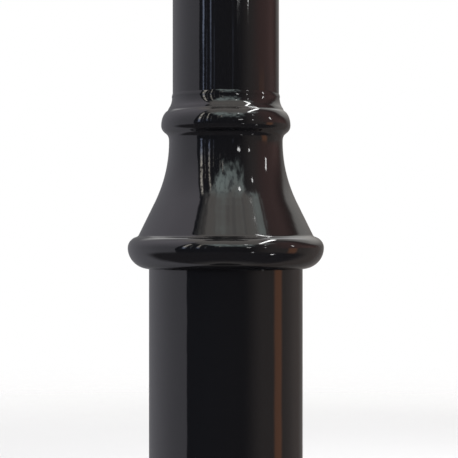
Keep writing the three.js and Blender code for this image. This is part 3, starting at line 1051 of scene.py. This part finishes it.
BAR = 8  # thickness of the scroll's flat bar
BAR_WIDTH = 36
BAR_GAP = 0.35 + BAR / 2  # from shaft or drum to the bar's middle line
LOWER_EYE = (UPPER_R / MM + BAR_GAP + 40, 2125, 40)  # X, Z and radius
UPPER_EYE = (DRUM_R / MM + BAR_GAP + 55, 42, 55)  # reach, degrees under the drum and radius


def scroll_line():
    """The right-hand scroll's middle line in X and Z: volute, stem, volute."""
    low_x, low_z, low_r = LOWER_EYE
    reach, under, top_r = UPPER_EYE
    bearing = math.radians(under)
    top_x = reach * math.sin(bearing)
    top_z = HEAD_Z / MM - reach * math.cos(bearing)
    lower = volute(low_x, low_z, low_r, 180, 1.25, 60)
    upper = [Vector((-p.x, p.y)) for p in volute(-top_x, top_z, top_r, 48, 1.25, 60)][::-1]
    stem = [(63, 2170), (69, 2230), (82, 2310), (107, 2400), (147, 2485), (200, 2556)]
    middle = through([lower[-1], *(Vector(p) for p in stem), upper[0]], 9)
    return lower + middle[1:-1] + upper


def offset_line(line, distance):
    """The line moved sideways, to its left when distance is positive."""
    made = []
    for i, point in enumerate(line):
        along = line[min(i + 1, len(line) - 1)] - line[max(i - 1, 0)]
        normal = Vector((-along.y, along.x)).normalized()
        made.append(point + normal * distance)
    return made


class STREETCLOCK_OT_scrolls(bpy.types.Operator):
    """Roll the two S-scrolls from flat bar and fix them to shaft and drum"""

    bl_idname = "street_clock.scrolls"
    bl_label = "Scrolls"

    def execute(self, context):
        line = scroll_line()
        outline = offset_line(line, BAR / 2) + offset_line(line, -BAR / 2)[::-1]
        for name, mirror in (("right", 1), ("left", -1)):
            points = [(mirror * p.x, p.y) for p in outline]
            bar = plate(points, -BAR_WIDTH / 2, BAR_WIDTH / 2, 1.6, 3)
            eyes = [self.eye(line[0], 9.6, mirror), self.eye(line[-1], 13.2, mirror)]
            shape = moved(joined(bar, *eyes), TO_FRONT)
            piece(shape, f"scroll_bar_{name}", "post", "casting", [f"scroll_{name}"])
            self.fixings(mirror, name)
        return {"FINISHED"}

    def eye(self, centre, radius, mirror):
        """A turned boss in the eye of a volute."""
        half = BAR_WIDTH / 2
        section = [
            (0, -half - 3),
            *arc(0, -half + 3, radius * 0.55, 6, -90, -20, 5),
            (radius, -half + 1),
            (radius, half - 1),
            *arc(0, half - 3, radius * 0.55, 6, 20, 90, 5),
            (0, half + 3),
        ]
        boss = turned(section, 40, closed=False)
        return moved(boss, Matrix.Translation((mirror * centre.x * MM, centre.y * MM, 0)))

    def fixings(self, mirror, name):
        """A bolt where the lower volute meets the shaft."""
        bolts = []
        for height in (-10, 10):
            head = moved(hex_bolt(10, 5), Matrix.Rotation(mirror * math.pi / 2, 4, "Y"))
            x = mirror * (UPPER_R / MM + 0.35 + BAR)
            bolts.append(moved(head, shifted(x, height, LOWER_EYE[1])))
        piece(joined(*bolts), f"scroll_bolts_{name}", "post", "steel")


class STREETCLOCK_OT_shaft_rings(bpy.types.Operator):
    """Turn the ring under the scrolls and the capital"""

    bl_idname = "street_clock.shaft_rings"
    bl_label = "Ring and capital"

    def execute(self, context):
        steps = context.scene.street_clock_sizes.round_steps
        bore = UPPER_R / MM + 0.3
        middle = (low("scroll_ring").z + high("scroll_ring").z) / 2 / MM
        section = [
            (bore, middle - 14),
            (bore + 4, middle - 14),
            *arc(bore + 1.5, middle - 10, 4, 4, -40, 30, 4),
            *arc(bore + 2, middle, 9.5, 8.5, -60, 60, 14),
            *arc(bore + 1.5, middle + 10, 4, 4, -30, 40, 4),
            (bore + 4, middle + 14),
            (bore, middle + 14),
        ]
        piece(turned(section, steps), "astragal_ring", "post", "casting", ["scroll_ring"])
        top = CAPITAL_TOP / MM
        foot = top - COLLAR_HEIGHT
        flipped = [(r, top - h) for r, h in collar_outline(8)][::-1]
        inside = [(bore, top - 1.5), (bore, foot)]
        piece(turned(flipped + inside, steps), "bell_capital", "post", "casting", ["capital"])
        return {"FINISHED"}


class STREETCLOCK_OT_saddle(bpy.types.Operator):
    """Cut the saddle that carries the drum, with its bolts"""

    bl_idname = "street_clock.saddle"
    bl_label = "Saddle"

    def execute(self, context):
        foot = low("drum_saddle").z / MM
        radius = DRUM_R / MM + 0.4
        centre = HEAD_Z / MM
        half = 132
        spread = math.degrees(math.asin(half / radius))
        seat = arc(0, centre, radius, radius, -90 + spread, -90 - spread, 40)
        right = [(78, foot), (78, foot + 8), *self.sweep(foot)]
        left = [(-x, y) for x, y in reversed(right)]
        outline = right + seat + left
        body = plate(outline, -55, 55, 2.0, 3)
        body = moved(body, TO_FRONT)
        piece(body, "cast_saddle", "post", "casting", ["drum_saddle"])
        bolts = []
        upside_down = Matrix.Rotation(math.pi, 4, "X")
        for x in (-106, 106):
            for y in (-36, 36):
                place = shifted(x, y, foot + 29.5)
                bolts.append(moved(hex_bolt(13, 7), place @ upside_down))
        piece(joined(*bolts), "saddle_bolts", "post", "steel")
        return {"FINISHED"}

    def sweep(self, foot):
        """The hollow curve under the saddle's arm."""
        start = Vector((78, foot + 8))
        bend = Vector((88, foot + 26))
        end = Vector((132, foot + 34))
        return [curve_point(start, bend, end, i / 10) for i in range(1, 11)]


# ---- Head ---------------------------------------------------------------------------------------


class STREETCLOCK_OT_drum(bpy.types.Operator):
    """Roll the drum with its hoops, rims and rivets"""

    bl_idname = "street_clock.drum"
    bl_label = "Drum"

    def execute(self, context):
        steps = context.scene.street_clock_sizes.round_steps
        end = high("drum_case").y / MM
        radius = DRUM_R / MM
        hoops = []
        for y in (-62, 62):
            hoops += [(radius, y - 10), *arc(radius, y, 4.5, 7, -88, 88, 10), (radius, y + 10)]
        section = [(radius, -end), *hoops, (radius, end), (radius - 4, end), (radius - 4, -end)]
        shell = moved(turned(section, steps), face_of("front"))
        bottom = (HEAD_Z - DRUM_R) / MM
        cable_hole = rod(14, bottom - 20, bottom + 20, edge=0)
        shell = carved(shell, cable_hole, *(self.keyhole(side) for side in SIDES))
        piece(shell, "drum_shell", "post", "sheet", ["drum_case"])
        for side in SIDES:
            outer = DRUM_HALF / MM
            rim = eased([(330, outer - 4, 1), (radius, outer - 4), (radius, outer, 1.8), (330, outer, 1)])
            ring = carved(moved(turned(rim, steps), face_of(side)), self.keyhole(side))
            piece(ring, f"drum_end_ring_{side}", "post", "sheet", [f"drum_rim_{side}"])
        self.rivets(radius)
        refinish("zinc", "movement_frame")
        refinish("plastic", "light_driver", "movement_front", "movement_rear")
        refinish("board", "light_board_front", "light_board_rear")
        return {"FINISHED"}

    def keyhole(self, side):
        """The hole and slot that the fastener's tongue goes through."""
        x = FASTENER_X / MM
        hole = rod(5, 90, 120, at=(x, 0), edge=0)
        slot = block(x - 4.2, x + 4.2, 0, 15, 90.5, 119.5)
        return moved(boolean("UNION", hole, [slot]), face_of(side))

    def rivets(self, radius):
        """Domed rivets between the hoops and the rims."""
        heads = []
        for y in (-84, 84):
            for i in range(32):
                dome = turned([*arc(0, 0, 4.2, 2.4, 0, 90, 4), (0, -1)], 12, closed=False)
                turn = Matrix.Rotation(TAU * (i + 0.5) / 32, 4, "Y")
                spot = turn @ Matrix.Translation((radius * MM, y * MM, 0))
                outwards = Matrix.Rotation(math.pi / 2, 4, "Y")
                heads.append(moved(dome, raised_to(HEAD_Z) @ spot @ outwards))
        piece(joined(*heads), "drum_rivets", "post", "sheet")


class STREETCLOCK_OT_finial(bpy.types.Operator):
    """Turn the finial and its seat on the drum"""

    bl_idname = "street_clock.finial"
    bl_label = "Finial"

    def execute(self, context):
        steps = 96
        top = HEAD_Z / MM + 408
        section = [
            (0, top - 50),
            (58, top - 50),
            (58, top - 18),
            *arc(55, top - 17, 3, 3, -10, 80, 4),
            (53, top - 13),
            *arc(40, top - 8, 13, 7.6, -30, 88, 8),
            (0, top),
        ]
        drum = moved(rod(DRUM_R / MM + 0.3, -200, 200, steps=192, edge=0), face_of("front"))
        base = carved(turned(section, steps, closed=False), drum)
        piece(base, "finial_seat", "post", "casting")
        foot = top + 0.05
        spindle = [
            (0, foot),
            (29, foot),
            *arc(28, foot + 3, 2.2, 2.8, -80, 80, 6),
            (26, foot + 6.4),
            *arc(30, foot + 22, 17, 15.5, 255, 150, 12),
            (16.6, foot + 33),
            *arc(15, foot + 36, 4.5, 2.6, -70, 70, 6),
            (15.6, foot + 39.5),
            *arc(0, foot + 64, 31, 26, -58, 62, 24),
            *arc(11, foot + 90, 4, 2.4, -70, 70, 6),
            (9.2, foot + 94),
            *arc(0, foot + 103, 16, 8.5, -50, 50, 12),
            (9.4, foot + 112),
            *arc(60, foot + 118, 51.4, 70, 184, 122, 16),
        ]
        spindle = [p for p in spindle if p[1] < foot + 150]
        spindle += [(6, foot + 152), (3.4, foot + 176), (1.4, foot + 194), (0, foot + 195.8)]
        piece(turned(spindle, steps, closed=False), "turned_finial", "post", "casting", ["finial"])
        return {"FINISHED"}


# ---- Dials, hands and bezels --------------------------------------------------------------------

DIAL_FACE = 108.3


def stroke(x0, x1, height, width, depth):
    """A leaning bar from (x0, 0) to (x1, height), its width measured along X, in millimetres."""
    bar = block(-width / 2, width / 2, 0, height, 0, depth)
    lean = Matrix.Identity(4)
    lean[0][1] = (x1 - x0) / height
    return moved(bar, Matrix.Translation((x0 * MM, 0, 0)) @ lean)


def serif(x, y, width, depth, thickness=2.2):
    return block(x - width / 2, x + width / 2, y, y + thickness, 0, depth)


def letter(kind, left, height, depth):
    """One letter of a Roman numeral, and how wide it is."""
    thick = 7.6
    thin = 2.4
    top = height - 2.2
    if kind == "I":
        parts = [stroke(left + 7, left + 7, height, thick, depth)]
        parts += [serif(left + 7, y, 14, depth) for y in (0, top)]
        return parts, 15
    if kind == "V":
        parts = [stroke(left + 17, left + 6, height, thick, depth)]
        parts.append(stroke(left + 17.5, left + 29, height, thin, depth))
        parts += [serif(left + 6, top, 15, depth), serif(left + 29, top, 11, depth)]
        return parts, 34
    parts = [stroke(left + 28, left + 7, height, thick, depth)]
    parts.append(stroke(left + 7, left + 28, height, thin, depth))
    parts += [serif(left + 7, top, 15, depth), serif(left + 28, top, 11, depth)]
    parts += [serif(left + 28, 0, 15, depth), serif(left + 7, 0, 11, depth)]
    return parts, 35


NUMERALS = ("XII", "I", "II", "III", "IIII", "V", "VI", "VII", "VIII", "IX", "X", "XI")


def numeral(text, height, depth):
    """A numeral standing on Y = 0, centred on X = 0."""
    parts = []
    left = 0
    for kind in text:
        made, width = letter(kind, left, height, depth)
        parts += made
        left += width
    return moved(joined(*parts), Matrix.Translation((-(left - 1) / 2 * MM, 0, 0)))


def hand_outline(length, tail, hub, root, spade_at, spade_width):
    """Half of a spade hand, up its right side, mirrored to a whole outline pointing to twelve."""
    right = [(root * 0.8, -tail), (root * 0.62, -tail * 0.55), (root * 0.42, -hub * 0.9)]
    right += arc(0, 0, hub, hub, -62, 66, 18)
    right += [(root * 0.42, hub * 1.3), (root * 0.3, spade_at)]
    right += arc(root * 0.3, spade_at + 5, root * 0.22, 5, -60, 60, 5)
    start = Vector((root * 0.3, spade_at + 10))
    bend = Vector((spade_width * 0.8, spade_at + spade_width * 0.55))
    for i in range(1, 16):
        t = i / 16
        right.append(curve_point(start, bend, Vector((0, length)), t))
    left = [(-x, y) for x, y in reversed(right)]
    return right + [(0, length)] + left


def clockwise(degrees):
    return Matrix.Rotation(-math.radians(degrees), 4, "Z")


HOUR_DEG = 305
MINUTE_DEG = 60


class STREETCLOCK_OT_dials(bpy.types.Operator):
    """Turn both dials and lay on their numerals and minute track"""

    bl_idname = "street_clock.dials"
    bl_label = "Dials"

    def execute(self, context):
        sizes = context.scene.street_clock_sizes
        for side in SIDES:
            back = low("dial_rear").y / MM
            section = eased([(9, back), (343, back), (343, DIAL_FACE, 0.8), (9, DIAL_FACE, 0.6)])
            dial = moved(turned(section, sizes.round_steps), face_of(side))
            piece(dial, f"opal_dial_{side}", "post", "dial", [f"dial_{side}"])
            self.marks(sizes, side)
            gasket = turned(eased([(352, back), (366, back, 1.5), (366, 109, 1.5), (352, 109, 1.5)]), 128)
            gasket = moved(gasket, face_of(side))
            piece(gasket, f"bezel_gasket_{side}", "post", "rubber", [f"dial_seal_{side}"])
        return {"FINISHED"}

    def marks(self, sizes, side):
        """Numerals, the minute track and its rings."""
        depth = sizes.print_depth / MM
        parts = []
        for hour, text in enumerate(NUMERALS):
            height = sizes.numeral_height / MM
            shape = numeral(text, height, depth)
            lift = Matrix.Translation((0, sizes.numeral_radius - sizes.numeral_height / 2, 0))
            parts.append(moved(shape, clockwise(hour * 30) @ lift))
        middle = sizes.track_radius / MM
        for minute in range(60):
            wide, reach = (7.0, 9.5) if minute % 5 == 0 else (2.4, 7.5)
            bar = block(-wide / 2, wide / 2, middle - reach, middle + reach, 0, depth)
            parts.append(moved(bar, clockwise(minute * 6)))
        for radius in (middle - 9.5, middle + 7.9, middle - 96):
            line = [(radius, 0), (radius + 1.6, 0), (radius + 1.6, depth), (radius, depth)]
            parts.append(turned(line, 128))
        base = Matrix.Translation((0, 0, (DIAL_FACE - 0.05) * MM))
        piece(moved(joined(*parts), face_of(side) @ base), f"dial_marks_{side}", "post", "enamel")


class STREETCLOCK_OT_hands(bpy.types.Operator):
    """Cut the hands and turn their bosses and nuts"""

    bl_idname = "street_clock.hands"
    bl_label = "Hands"

    def execute(self, context):
        for side in SIDES:
            place = face_of(side)
            hour = plate(hand_outline(196, 62, 20, 20, 118, 46), 115.5, 118.5, 0.8, 3)
            boss = turned(eased([(7.3, 118.4), (16, 118.4), (16, 121, 1.6), (7.3, 122, 0.8)]), 64)
            hour = moved(joined(hour, boss), place @ clockwise(HOUR_DEG))
            piece(hour, f"spade_hour_hand_{side}", f"hour_{side}", "enamel", [f"hour_hand_{side}"])
            minute = plate(hand_outline(286, 84, 17, 16, 205, 30), 123.5, 126.5, 0.8, 3)
            minute = moved(minute, place @ clockwise(MINUTE_DEG))
            piece(minute, f"spade_minute_hand_{side}", f"minute_{side}", "enamel", [f"minute_hand_{side}"])
            cap = [
                (0, 126.6),
                (11, 126.6),
                *arc(9.5, 128.2, 1.6, 1.4, -60, 80, 4),
                *arc(0, 127.6, 8.6, 3.9, 30, 90, 8),
            ]
            nut = moved(turned(cap, 48, closed=False), place)
            piece(nut, f"hand_cap_{side}", f"minute_{side}", "brass", [f"hand_nut_{side}"])
            refinish("brass", f"hour_tube_{side}")
            refinish("steel", f"minute_arbor_{side}")
        return {"FINISHED"}


def bezel_section():
    """The bezel's section in millimetres: outer bead, cove, crowned band and inner bead."""
    return [
        (346, 109.6),
        (390.8, 109.6),
        *arc(390.8, 110.8, 1.2, 1.2, -90, 0, 3)[1:],
        (392, 121),
        *arc(384, 124, 8, 8.5, 0, 78, 10),
        (384.6, 133.2),
        (384.0, 134.2),
        *arc(385.5, 147, 12, 12, 262, 196, 10),
        (373.4, 144.6),
        *arc(370.5, 146.6, 3, 3, -10, 80, 5),
        (352, 151),
        (348.5, 150.6),
        (347.6, 149.2),
        (346.8, 149.2),
        *arc(337, 145.6, 8.8, 5.2, 40, 160, 14),
        (328.4, 147.2),
        (328, 145.2),
        (346, 145.2),
    ]


class STREETCLOCK_OT_bezels(bpy.types.Operator):
    """Turn the bezels and their glasses, hinges and fasteners"""

    bl_idname = "street_clock.bezels"
    bl_label = "Bezels"

    def execute(self, context):
        steps = context.scene.street_clock_sizes.round_steps
        for side in SIDES:
            self.frame_ring(side, steps)
            self.hinge(side)
            self.fastener(side)
        return {"FINISHED"}

    def frame_ring(self, side, steps):
        place = face_of(side)
        x = FASTENER_X / MM
        ring = turned(bezel_section(), steps)
        recess = rod(11, 137, 165, at=(x, 0), steps=48, edge=0)
        hole = rod(5, 100, 150, at=(x, 0), steps=32, edge=0)
        ring = carved(ring, recess, hole)
        hinge_x = HINGE_X / MM
        out = HINGE_OUT / MM
        knuckle = rod(7, -20, 20, "Y", at=(hinge_x, out), edge=0.8)
        web = block(hinge_x, -386, -20, 20, 110, 119, 1.0)
        whole = moved(joined(ring, knuckle, web), place)
        piece(whole, f"moulded_bezel_{side}", f"bezel_{side}", "casting", [f"bezel_{side}"])
        section = eased([(0, 139.7), (344, 139.7, 0.8), (344, 144.7, 0.8), (0, 144.7)])
        pane = moved(turned(section, steps, closed=False), place)
        glass = piece(pane, f"flat_glass_{side}", f"bezel_{side}", "glass", [f"glass_{side}"])
        glass.visible_shadow = False

    def hinge(self, side):
        place = face_of(side)
        x = HINGE_X / MM
        out = HINGE_OUT / MM
        leaf = block(-386, -381.4, -38, 38, 66, 108.5, 1.2, 2)
        arms = []
        for start in (-38, 20.5):
            arms.append(rod(7, start, start + 17.5, "Y", at=(x, out), edge=0.8))
            arms.append(block(x, -382.5, start, start + 17.5, 103, 108.9, 1.0))
        bracket = moved(joined(leaf, *arms), place)
        piece(bracket, f"bezel_hinge_{side}", "post", "casting", [f"bezel_hinge_bracket_{side}"])
        pin = rod(3, -41, 41, "Y", at=(x, out), edge=0.8)
        head = rod(5.5, 38.3, 42.6, "Y", at=(x, out), edge=1.4)
        tail = rod(4.4, -41.6, -38.2, "Y", at=(x, out), edge=1.2)
        pin = moved(joined(pin, head, tail), place)
        piece(pin, f"hinge_pin_{side}", "post", "steel", [f"bezel_hinge_pin_{side}"])
        screws = []
        for y in (-28, -9, 9, 28):
            head = moved(button_screw(3.4, 1.6, 20), Matrix.Rotation(-math.pi / 2, 4, "Y"))
            screws.append(moved(head, shifted(-386, y, 82)))
        piece(moved(joined(*screws), place), f"hinge_screws_{side}", "post", "steel")

    def fastener(self, side):
        x = FASTENER_X / MM
        shaft = rod(4, 97.6, 138, at=(x, 0), edge=0.3)
        tongue = block(x - 3, x + 3, 0, 13, 97.6, 100.6, 0.5)
        head = turned(eased([(0, 137.3), (9, 137.3, 0.4), (9, 144, 1.4), (0, 144.6)]), 40, closed=False)
        head = moved(head, Matrix.Translation((x * MM, 0, 0)))
        slot = block(x - 12, x + 12, -1.2, 1.2, 142, 150)
        screw = moved(joined(shaft, tongue, carved(head, slot)), face_of(side))
        holder = f"bezel_fastener_{side}"
        piece(screw, f"quarter_turn_screw_{side}", holder, "steel", [holder])


# ---- Stage --------------------------------------------------------------------------------------


class STREETCLOCK_OT_stage(bpy.types.Operator):
    """Lay the floor and set the studio light and the camera"""

    bl_idname = "street_clock.stage"
    bl_label = "Stage"

    def execute(self, context):
        context.scene.view_settings.view_transform = "Standard"
        self.camera(context)
        self.floor(context)
        self.room(context)
        self.lamps(context)
        return {"FINISHED"}

    def camera(self, context):
        stage = context.scene.street_clock_stage
        data = bpy.data.cameras.new("Camera")
        data.lens = stage.lens
        data.sensor_width = 36
        data.clip_end = 200
        camera = bpy.data.objects.new("Camera", data)
        context.scene.collection.objects.link(camera)
        camera.location = (stage.side_step, -stage.distance, COLLAR_Z + stage.camera_height)
        aim = Vector((stage.side_step, 0, COLLAR_Z + stage.aim_height))
        camera.rotation_euler = (aim - camera.location).to_track_quat("-Z", "Y").to_euler()
        context.scene.camera = camera

    def floor(self, context):
        """A pale disc that fades into the white surroundings at its edge."""
        radius = context.scene.street_clock_stage.floor_radius
        bm = bmesh.new()
        bmesh.ops.create_circle(bm, cap_ends=True, radius=radius, segments=128)
        mesh = bpy.data.meshes.new("floor")
        bm.to_mesh(mesh)
        bm.free()
        disc = bpy.data.objects.new("floor", mesh)
        context.scene.collection.objects.link(disc)
        disc.location.z = -0.0005
        finish = Finish("Studio floor", {"Roughness": 0.7})
        pale = colour("floor")
        grain = finish.noise(finish.place(), 3.0, 4.0)
        finish.feed("Base Color", finish.mix(grain * 0.3, pale, tuple(c * 0.94 for c in pale)))
        mesh.materials.append(finish.material)
        self.fade(finish, radius)
        disc.visible_glossy = False

    def fade(self, finish, radius):
        x, y, _ = finish.parts(finish.place())
        away = (x * x + y * y) ** 0.5
        share = finish.step(away, radius * 0.45, radius * 0.98)
        clear = finish.node("ShaderNodeBsdfTransparent")
        solid = Reading(finish, finish.shader.outputs[0])
        blend = finish.node("ShaderNodeMixShader", inputs={0: share, 1: solid, 2: clear})
        end = finish.tree.nodes["Material Output"]
        finish.join(blend, end.inputs["Surface"])

    def room(self, context):
        """Soft surroundings: pale walls left and right of a dark opening, and a hazy skylight."""
        world = bpy.data.worlds.new("Studio")
        context.scene.world = world
        world.use_nodes = True
        nodes = Nodes(world.node_tree)
        nodes.tree.nodes.clear()
        heading = nodes.node("ShaderNodeTexCoord", output="Generated")
        x, y, z = nodes.parts(heading)
        turn = nodes.node("ShaderNodeMath", {"operation": "ARCTAN2"}, {0: x, 1: y * -1.0})
        azimuth = turn * math.degrees(1)
        rise = nodes.node("ShaderNodeMath", {"operation": "ARCSINE"}, {0: z}) * math.degrees(1)
        haze = nodes.noise(heading, 3.2, 4.0, 0.6)
        wisps = nodes.noise(heading, 11.0, 3.0, 0.6)

        def between(value, start, end, soft):
            return nodes.step(value, start, start + soft) * nodes.step(value, end, end - soft)

        left = between(azimuth - nodes.step(rise, -4, 40, 0, 4.5), -184, -58.8, 1.4)
        left_tone = nodes.mix(nodes.step(rise, 5, 60), (0.76, 0.75, 0.83), (1.35, 1.28, 1.42))
        left_tone = nodes.mix(nodes.step(azimuth, -178, -95), (0.20, 0.20, 0.21), left_tone)
        flank = azimuth + nodes.step(rise, 3, 26, 0, 19)
        grey = nodes.mix(nodes.step(rise, 3, 28), (0.24, 0.22, 0.21), (1.05, 1.02, 0.97))
        right_tone = nodes.mix(nodes.step(flank, 118, 140), (0.36, 0.31, 0.29), (0.25, 0.21, 0.195))
        right_tone = nodes.mix(nodes.step(flank, 139, 147), right_tone, grey)
        front_tone = nodes.mix(nodes.step(azimuth, -55, 40), (0.05, 0.055, 0.07), (0.07, 0.065, 0.07))
        room = nodes.mix(nodes.step(azimuth, 24, 58), front_tone, right_tone)
        rust = nodes.step(azimuth, 50, 82) * nodes.step(flank, 143, 132)
        rust = rust * nodes.step(rise, 2, 7) * nodes.step(rise, 58, 40)
        rust_tone = nodes.mix(nodes.step(flank, 112, 138), (0.56, 0.33, 0.30), (0.20, 0.12, 0.11))
        room = nodes.mix(rust * 0.9, room, rust_tone)
        ember = between(azimuth, 74, 94, 6) * nodes.step(rise, 7, 1)
        room = nodes.mix(ember, room, (1.25, 0.60, 0.36))
        room = nodes.mix(left, room, left_tone)

        off = nodes.node("ShaderNodeMath", {"operation": "ABSOLUTE"}, {0: azimuth - 10.0})
        edge = off + (haze - 0.5) * 90.0 - nodes.step(rise, 16, 58, 6, 66)
        cloud = nodes.step(edge, 10, -10) * nodes.step(rise + (wisps - 0.5) * 40.0, 14, 44)
        higher = nodes.step(rise + (haze - 0.5) * 30.0, 34, 52)
        cloud_tone = nodes.mix(higher, (2.7, 3.2, 3.1), (1.45, 1.36, 1.26))
        gaps = nodes.step(wisps, 0.5, 0.36) * nodes.step(rise, 50, 38, 0.2, 0.75)
        cloud_tone = nodes.mix(gaps, cloud_tone, (0.5, 0.52, 0.6))
        room = nodes.mix(cloud, room, cloud_tone)
        top = nodes.step(rise, 56, 74)
        room = nodes.mix(top, room, (1.6, 1.48, 1.38))

        fine = nodes.noise(heading, 26.0, 2.0, 0.5)
        broken = nodes.step(fine, 0.36, 0.52)
        warm = nodes.step(rise, 8, 22)
        for at, width, tone, foot, head in (
            (-49.0, 6.4, 6.5, 1, 46),
            (-41.5, 1.2, 2.4, 3, 34),
            (-33.0, 4.4, 4.6, 3, 44),
            (-25.0, 1.4, 1.8, 3, 26),
            (-6.7, 2.0, 5.5, 20, 31),
            (-2.0, 4.0, 3.4, 15, 16.6),
            (-12.5, 1.3, 2.4, 14, 30),
            (15.0, 2.4, 1.4, 3, 9),
        ):
            line = between(azimuth, at - width / 2, at + width / 2, width * 0.4)
            line = line * between(rise, foot, head, 2) * broken
            cool = (tone * 0.34, tone * 0.40, tone * 0.56)
            room = nodes.mix(line, room, nodes.mix(warm, cool, (tone, tone * 0.94, tone * 0.84)))
        below = nodes.step(rise, -12, -24) * between(azimuth, -118, 118, 22)
        room = nodes.mix(below, room, (0.13, 0.12, 0.13))
        room = nodes.mix(nodes.step(rise, -62, -84), room, (0.6, 0.56, 0.54))
        behind = nodes.step(nodes.node("ShaderNodeMath", {"operation": "ABSOLUTE"}, {0: azimuth}), 136, 166)
        room = nodes.mix(behind * nodes.step(rise, 22, 40), room, (2.2, 2.2, 2.2))

        seen = nodes.node("ShaderNodeBackground", inputs={"Color": (1, 1, 1, 1), "Strength": 1.0})
        soft = nodes.node("ShaderNodeBackground", inputs={"Color": (0.86, 0.86, 0.88, 1), "Strength": 0.8})
        lit = nodes.node("ShaderNodeBackground", inputs={"Color": room, "Strength": 1.0})
        scattered = nodes.node("ShaderNodeLightPath", output="Is Diffuse Ray")
        straight = nodes.node("ShaderNodeLightPath", output="Is Camera Ray")
        through = nodes.node("ShaderNodeLightPath", output="Is Transmission Ray")
        straight = nodes.node("ShaderNodeMath", {"operation": "MAXIMUM"}, {0: straight, 1: through})
        blend = nodes.node("ShaderNodeMixShader", inputs={0: scattered, 1: lit, 2: soft})
        blend = nodes.node("ShaderNodeMixShader", inputs={0: straight, 1: blend, 2: seen})
        end = nodes.tree.nodes.new("ShaderNodeOutputWorld")
        nodes.join(blend, end.inputs["Surface"])

    def lamps(self, context):
        """Soft boxes that only light, and the tube lamps and spots that the gloss shows."""
        for name, place, width, height, watts in (
            ("ceiling", (0.0, -1.5, 6.5), 3.0, 3.0, 200),
            ("front", (-3.5, -7.0, 4.5), 3.0, 2.0, 200),
            ("back", (2.5, 6.5, 4.5), 3.0, 2.0, 180),
        ):
            box = self.lamp(name, Vector(place), Vector((1, 0, 0)), width, height, watts)
            box.visible_glossy = False
        for name, start, end, thick, tone in (
            ("near_spot", (24, 12.5), (29.5, 12.8), 1.8, 14),
            ("high_spot", (26.5, 39.5), (29, 42), 2.4, 14),
            ("long_tube", (50, 47), (130, 58), 2.8, 26),
            ("right_high", (52, 31.5), (53.4, 33), 1.8, 16),
            ("right_low", (47, 12), (48.6, 12.8), 2.0, 16),
            ("side_tube", (86.5, 15), (85.5, 22), 2.2, 13),
            ("low_spot", (58, -28), (59.5, -26), 2.8, 20),
            ("low_dim", (30.5, -20), (32.5, -18), 2.2, 8),
        ):
            self.tube_lamp(name, start, end, thick, tone)

    def tube_lamp(self, name, start, end, thick, tone):
        """A bar of given brightness seen from the collar between two headings in degrees."""
        middle = Vector((0, 0, COLLAR_Z + 0.09))
        reach = 4.0 if start[1] > 0 else 2.3
        first, last = (self.heading(*at) * reach for at in (start, end))
        length = (last - first).length
        width = reach * math.radians(thick)
        watts = tone * math.pi * length * width
        item = self.lamp(name, middle + (first + last) / 2, last - first, length, width, watts, middle)
        item.visible_diffuse = False

    def heading(self, azimuth, elevation):
        a = math.radians(azimuth)
        e = math.radians(elevation)
        return Vector((math.cos(e) * math.sin(a), -math.cos(e) * math.cos(a), math.sin(e)))

    def lamp(self, name, place, along, width, height, watts, aim=Vector((0, 0, 1.9))):
        """An area light at a place, its width lying along a direction, facing the aim."""
        data = bpy.data.lights.new(name, "AREA")
        data.shape = "RECTANGLE"
        data.size = width
        data.size_y = height
        data.energy = watts
        item = bpy.data.objects.new(name, data)
        bpy.context.scene.collection.objects.link(item)
        back = (place - aim).normalized()
        side = (along - along.dot(back) * back).normalized()
        turn = Matrix((side, back.cross(side), back)).transposed()
        item.matrix_world = Matrix.Translation(place) @ turn.to_4x4()
        item.visible_camera = False
        return item


# ---- Panel --------------------------------------------------------------------------------------


class STREETCLOCK_PT_panel(bpy.types.Panel):
    """Lists the clock's settings and pieces"""

    bl_label = "Street clock"
    bl_idname = "STREETCLOCK_PT_panel"
    bl_space_type = "VIEW_3D"
    bl_region_type = "UI"
    bl_category = "Street clock"

    def draw(self, context):
        layout = self.layout
        for group in SETTINGS:
            box = layout.box()
            settings = getattr(context.scene, group)
            for name in settings.bl_rna.properties.keys():
                if name not in ("rna_type", "name"):
                    box.prop(settings, name)
        for operator in OPERATORS:
            layout.operator(operator.bl_idname)


SETTINGS = {
    "street_clock_sizes": StreetClockSizes,
    "street_clock_colours": StreetClockColours,
    "street_clock_stage": StreetClockStage,
}

OPERATORS = (
    STREETCLOCK_OT_stage,
    STREETCLOCK_OT_base_cover,
    STREETCLOCK_OT_tubes,
    STREETCLOCK_OT_collar,
    STREETCLOCK_OT_collar_screws,
    STREETCLOCK_OT_access_door,
    STREETCLOCK_OT_door_lock,
    STREETCLOCK_OT_post_gear,
    STREETCLOCK_OT_scrolls,
    STREETCLOCK_OT_shaft_rings,
    STREETCLOCK_OT_saddle,
    STREETCLOCK_OT_drum,
    STREETCLOCK_OT_finial,
    STREETCLOCK_OT_dials,
    STREETCLOCK_OT_hands,
    STREETCLOCK_OT_bezels,
)


def register():
    for made in (*SETTINGS.values(), *OPERATORS, STREETCLOCK_PT_panel):
        bpy.utils.register_class(made)
    for name, group in SETTINGS.items():
        setattr(bpy.types.Scene, name, bpy.props.PointerProperty(type=group))


def unregister():
    for name in SETTINGS:
        delattr(bpy.types.Scene, name)
    for made in reversed((*SETTINGS.values(), *OPERATORS, STREETCLOCK_PT_panel)):
        bpy.utils.unregister_class(made)


def main():
    """Makes every piece in turn."""
    register()
    for operator in OPERATORS:
        group, name = operator.bl_idname.split(".")
        getattr(getattr(bpy.ops, group), name)()


if __name__ == "__main__":
    main()
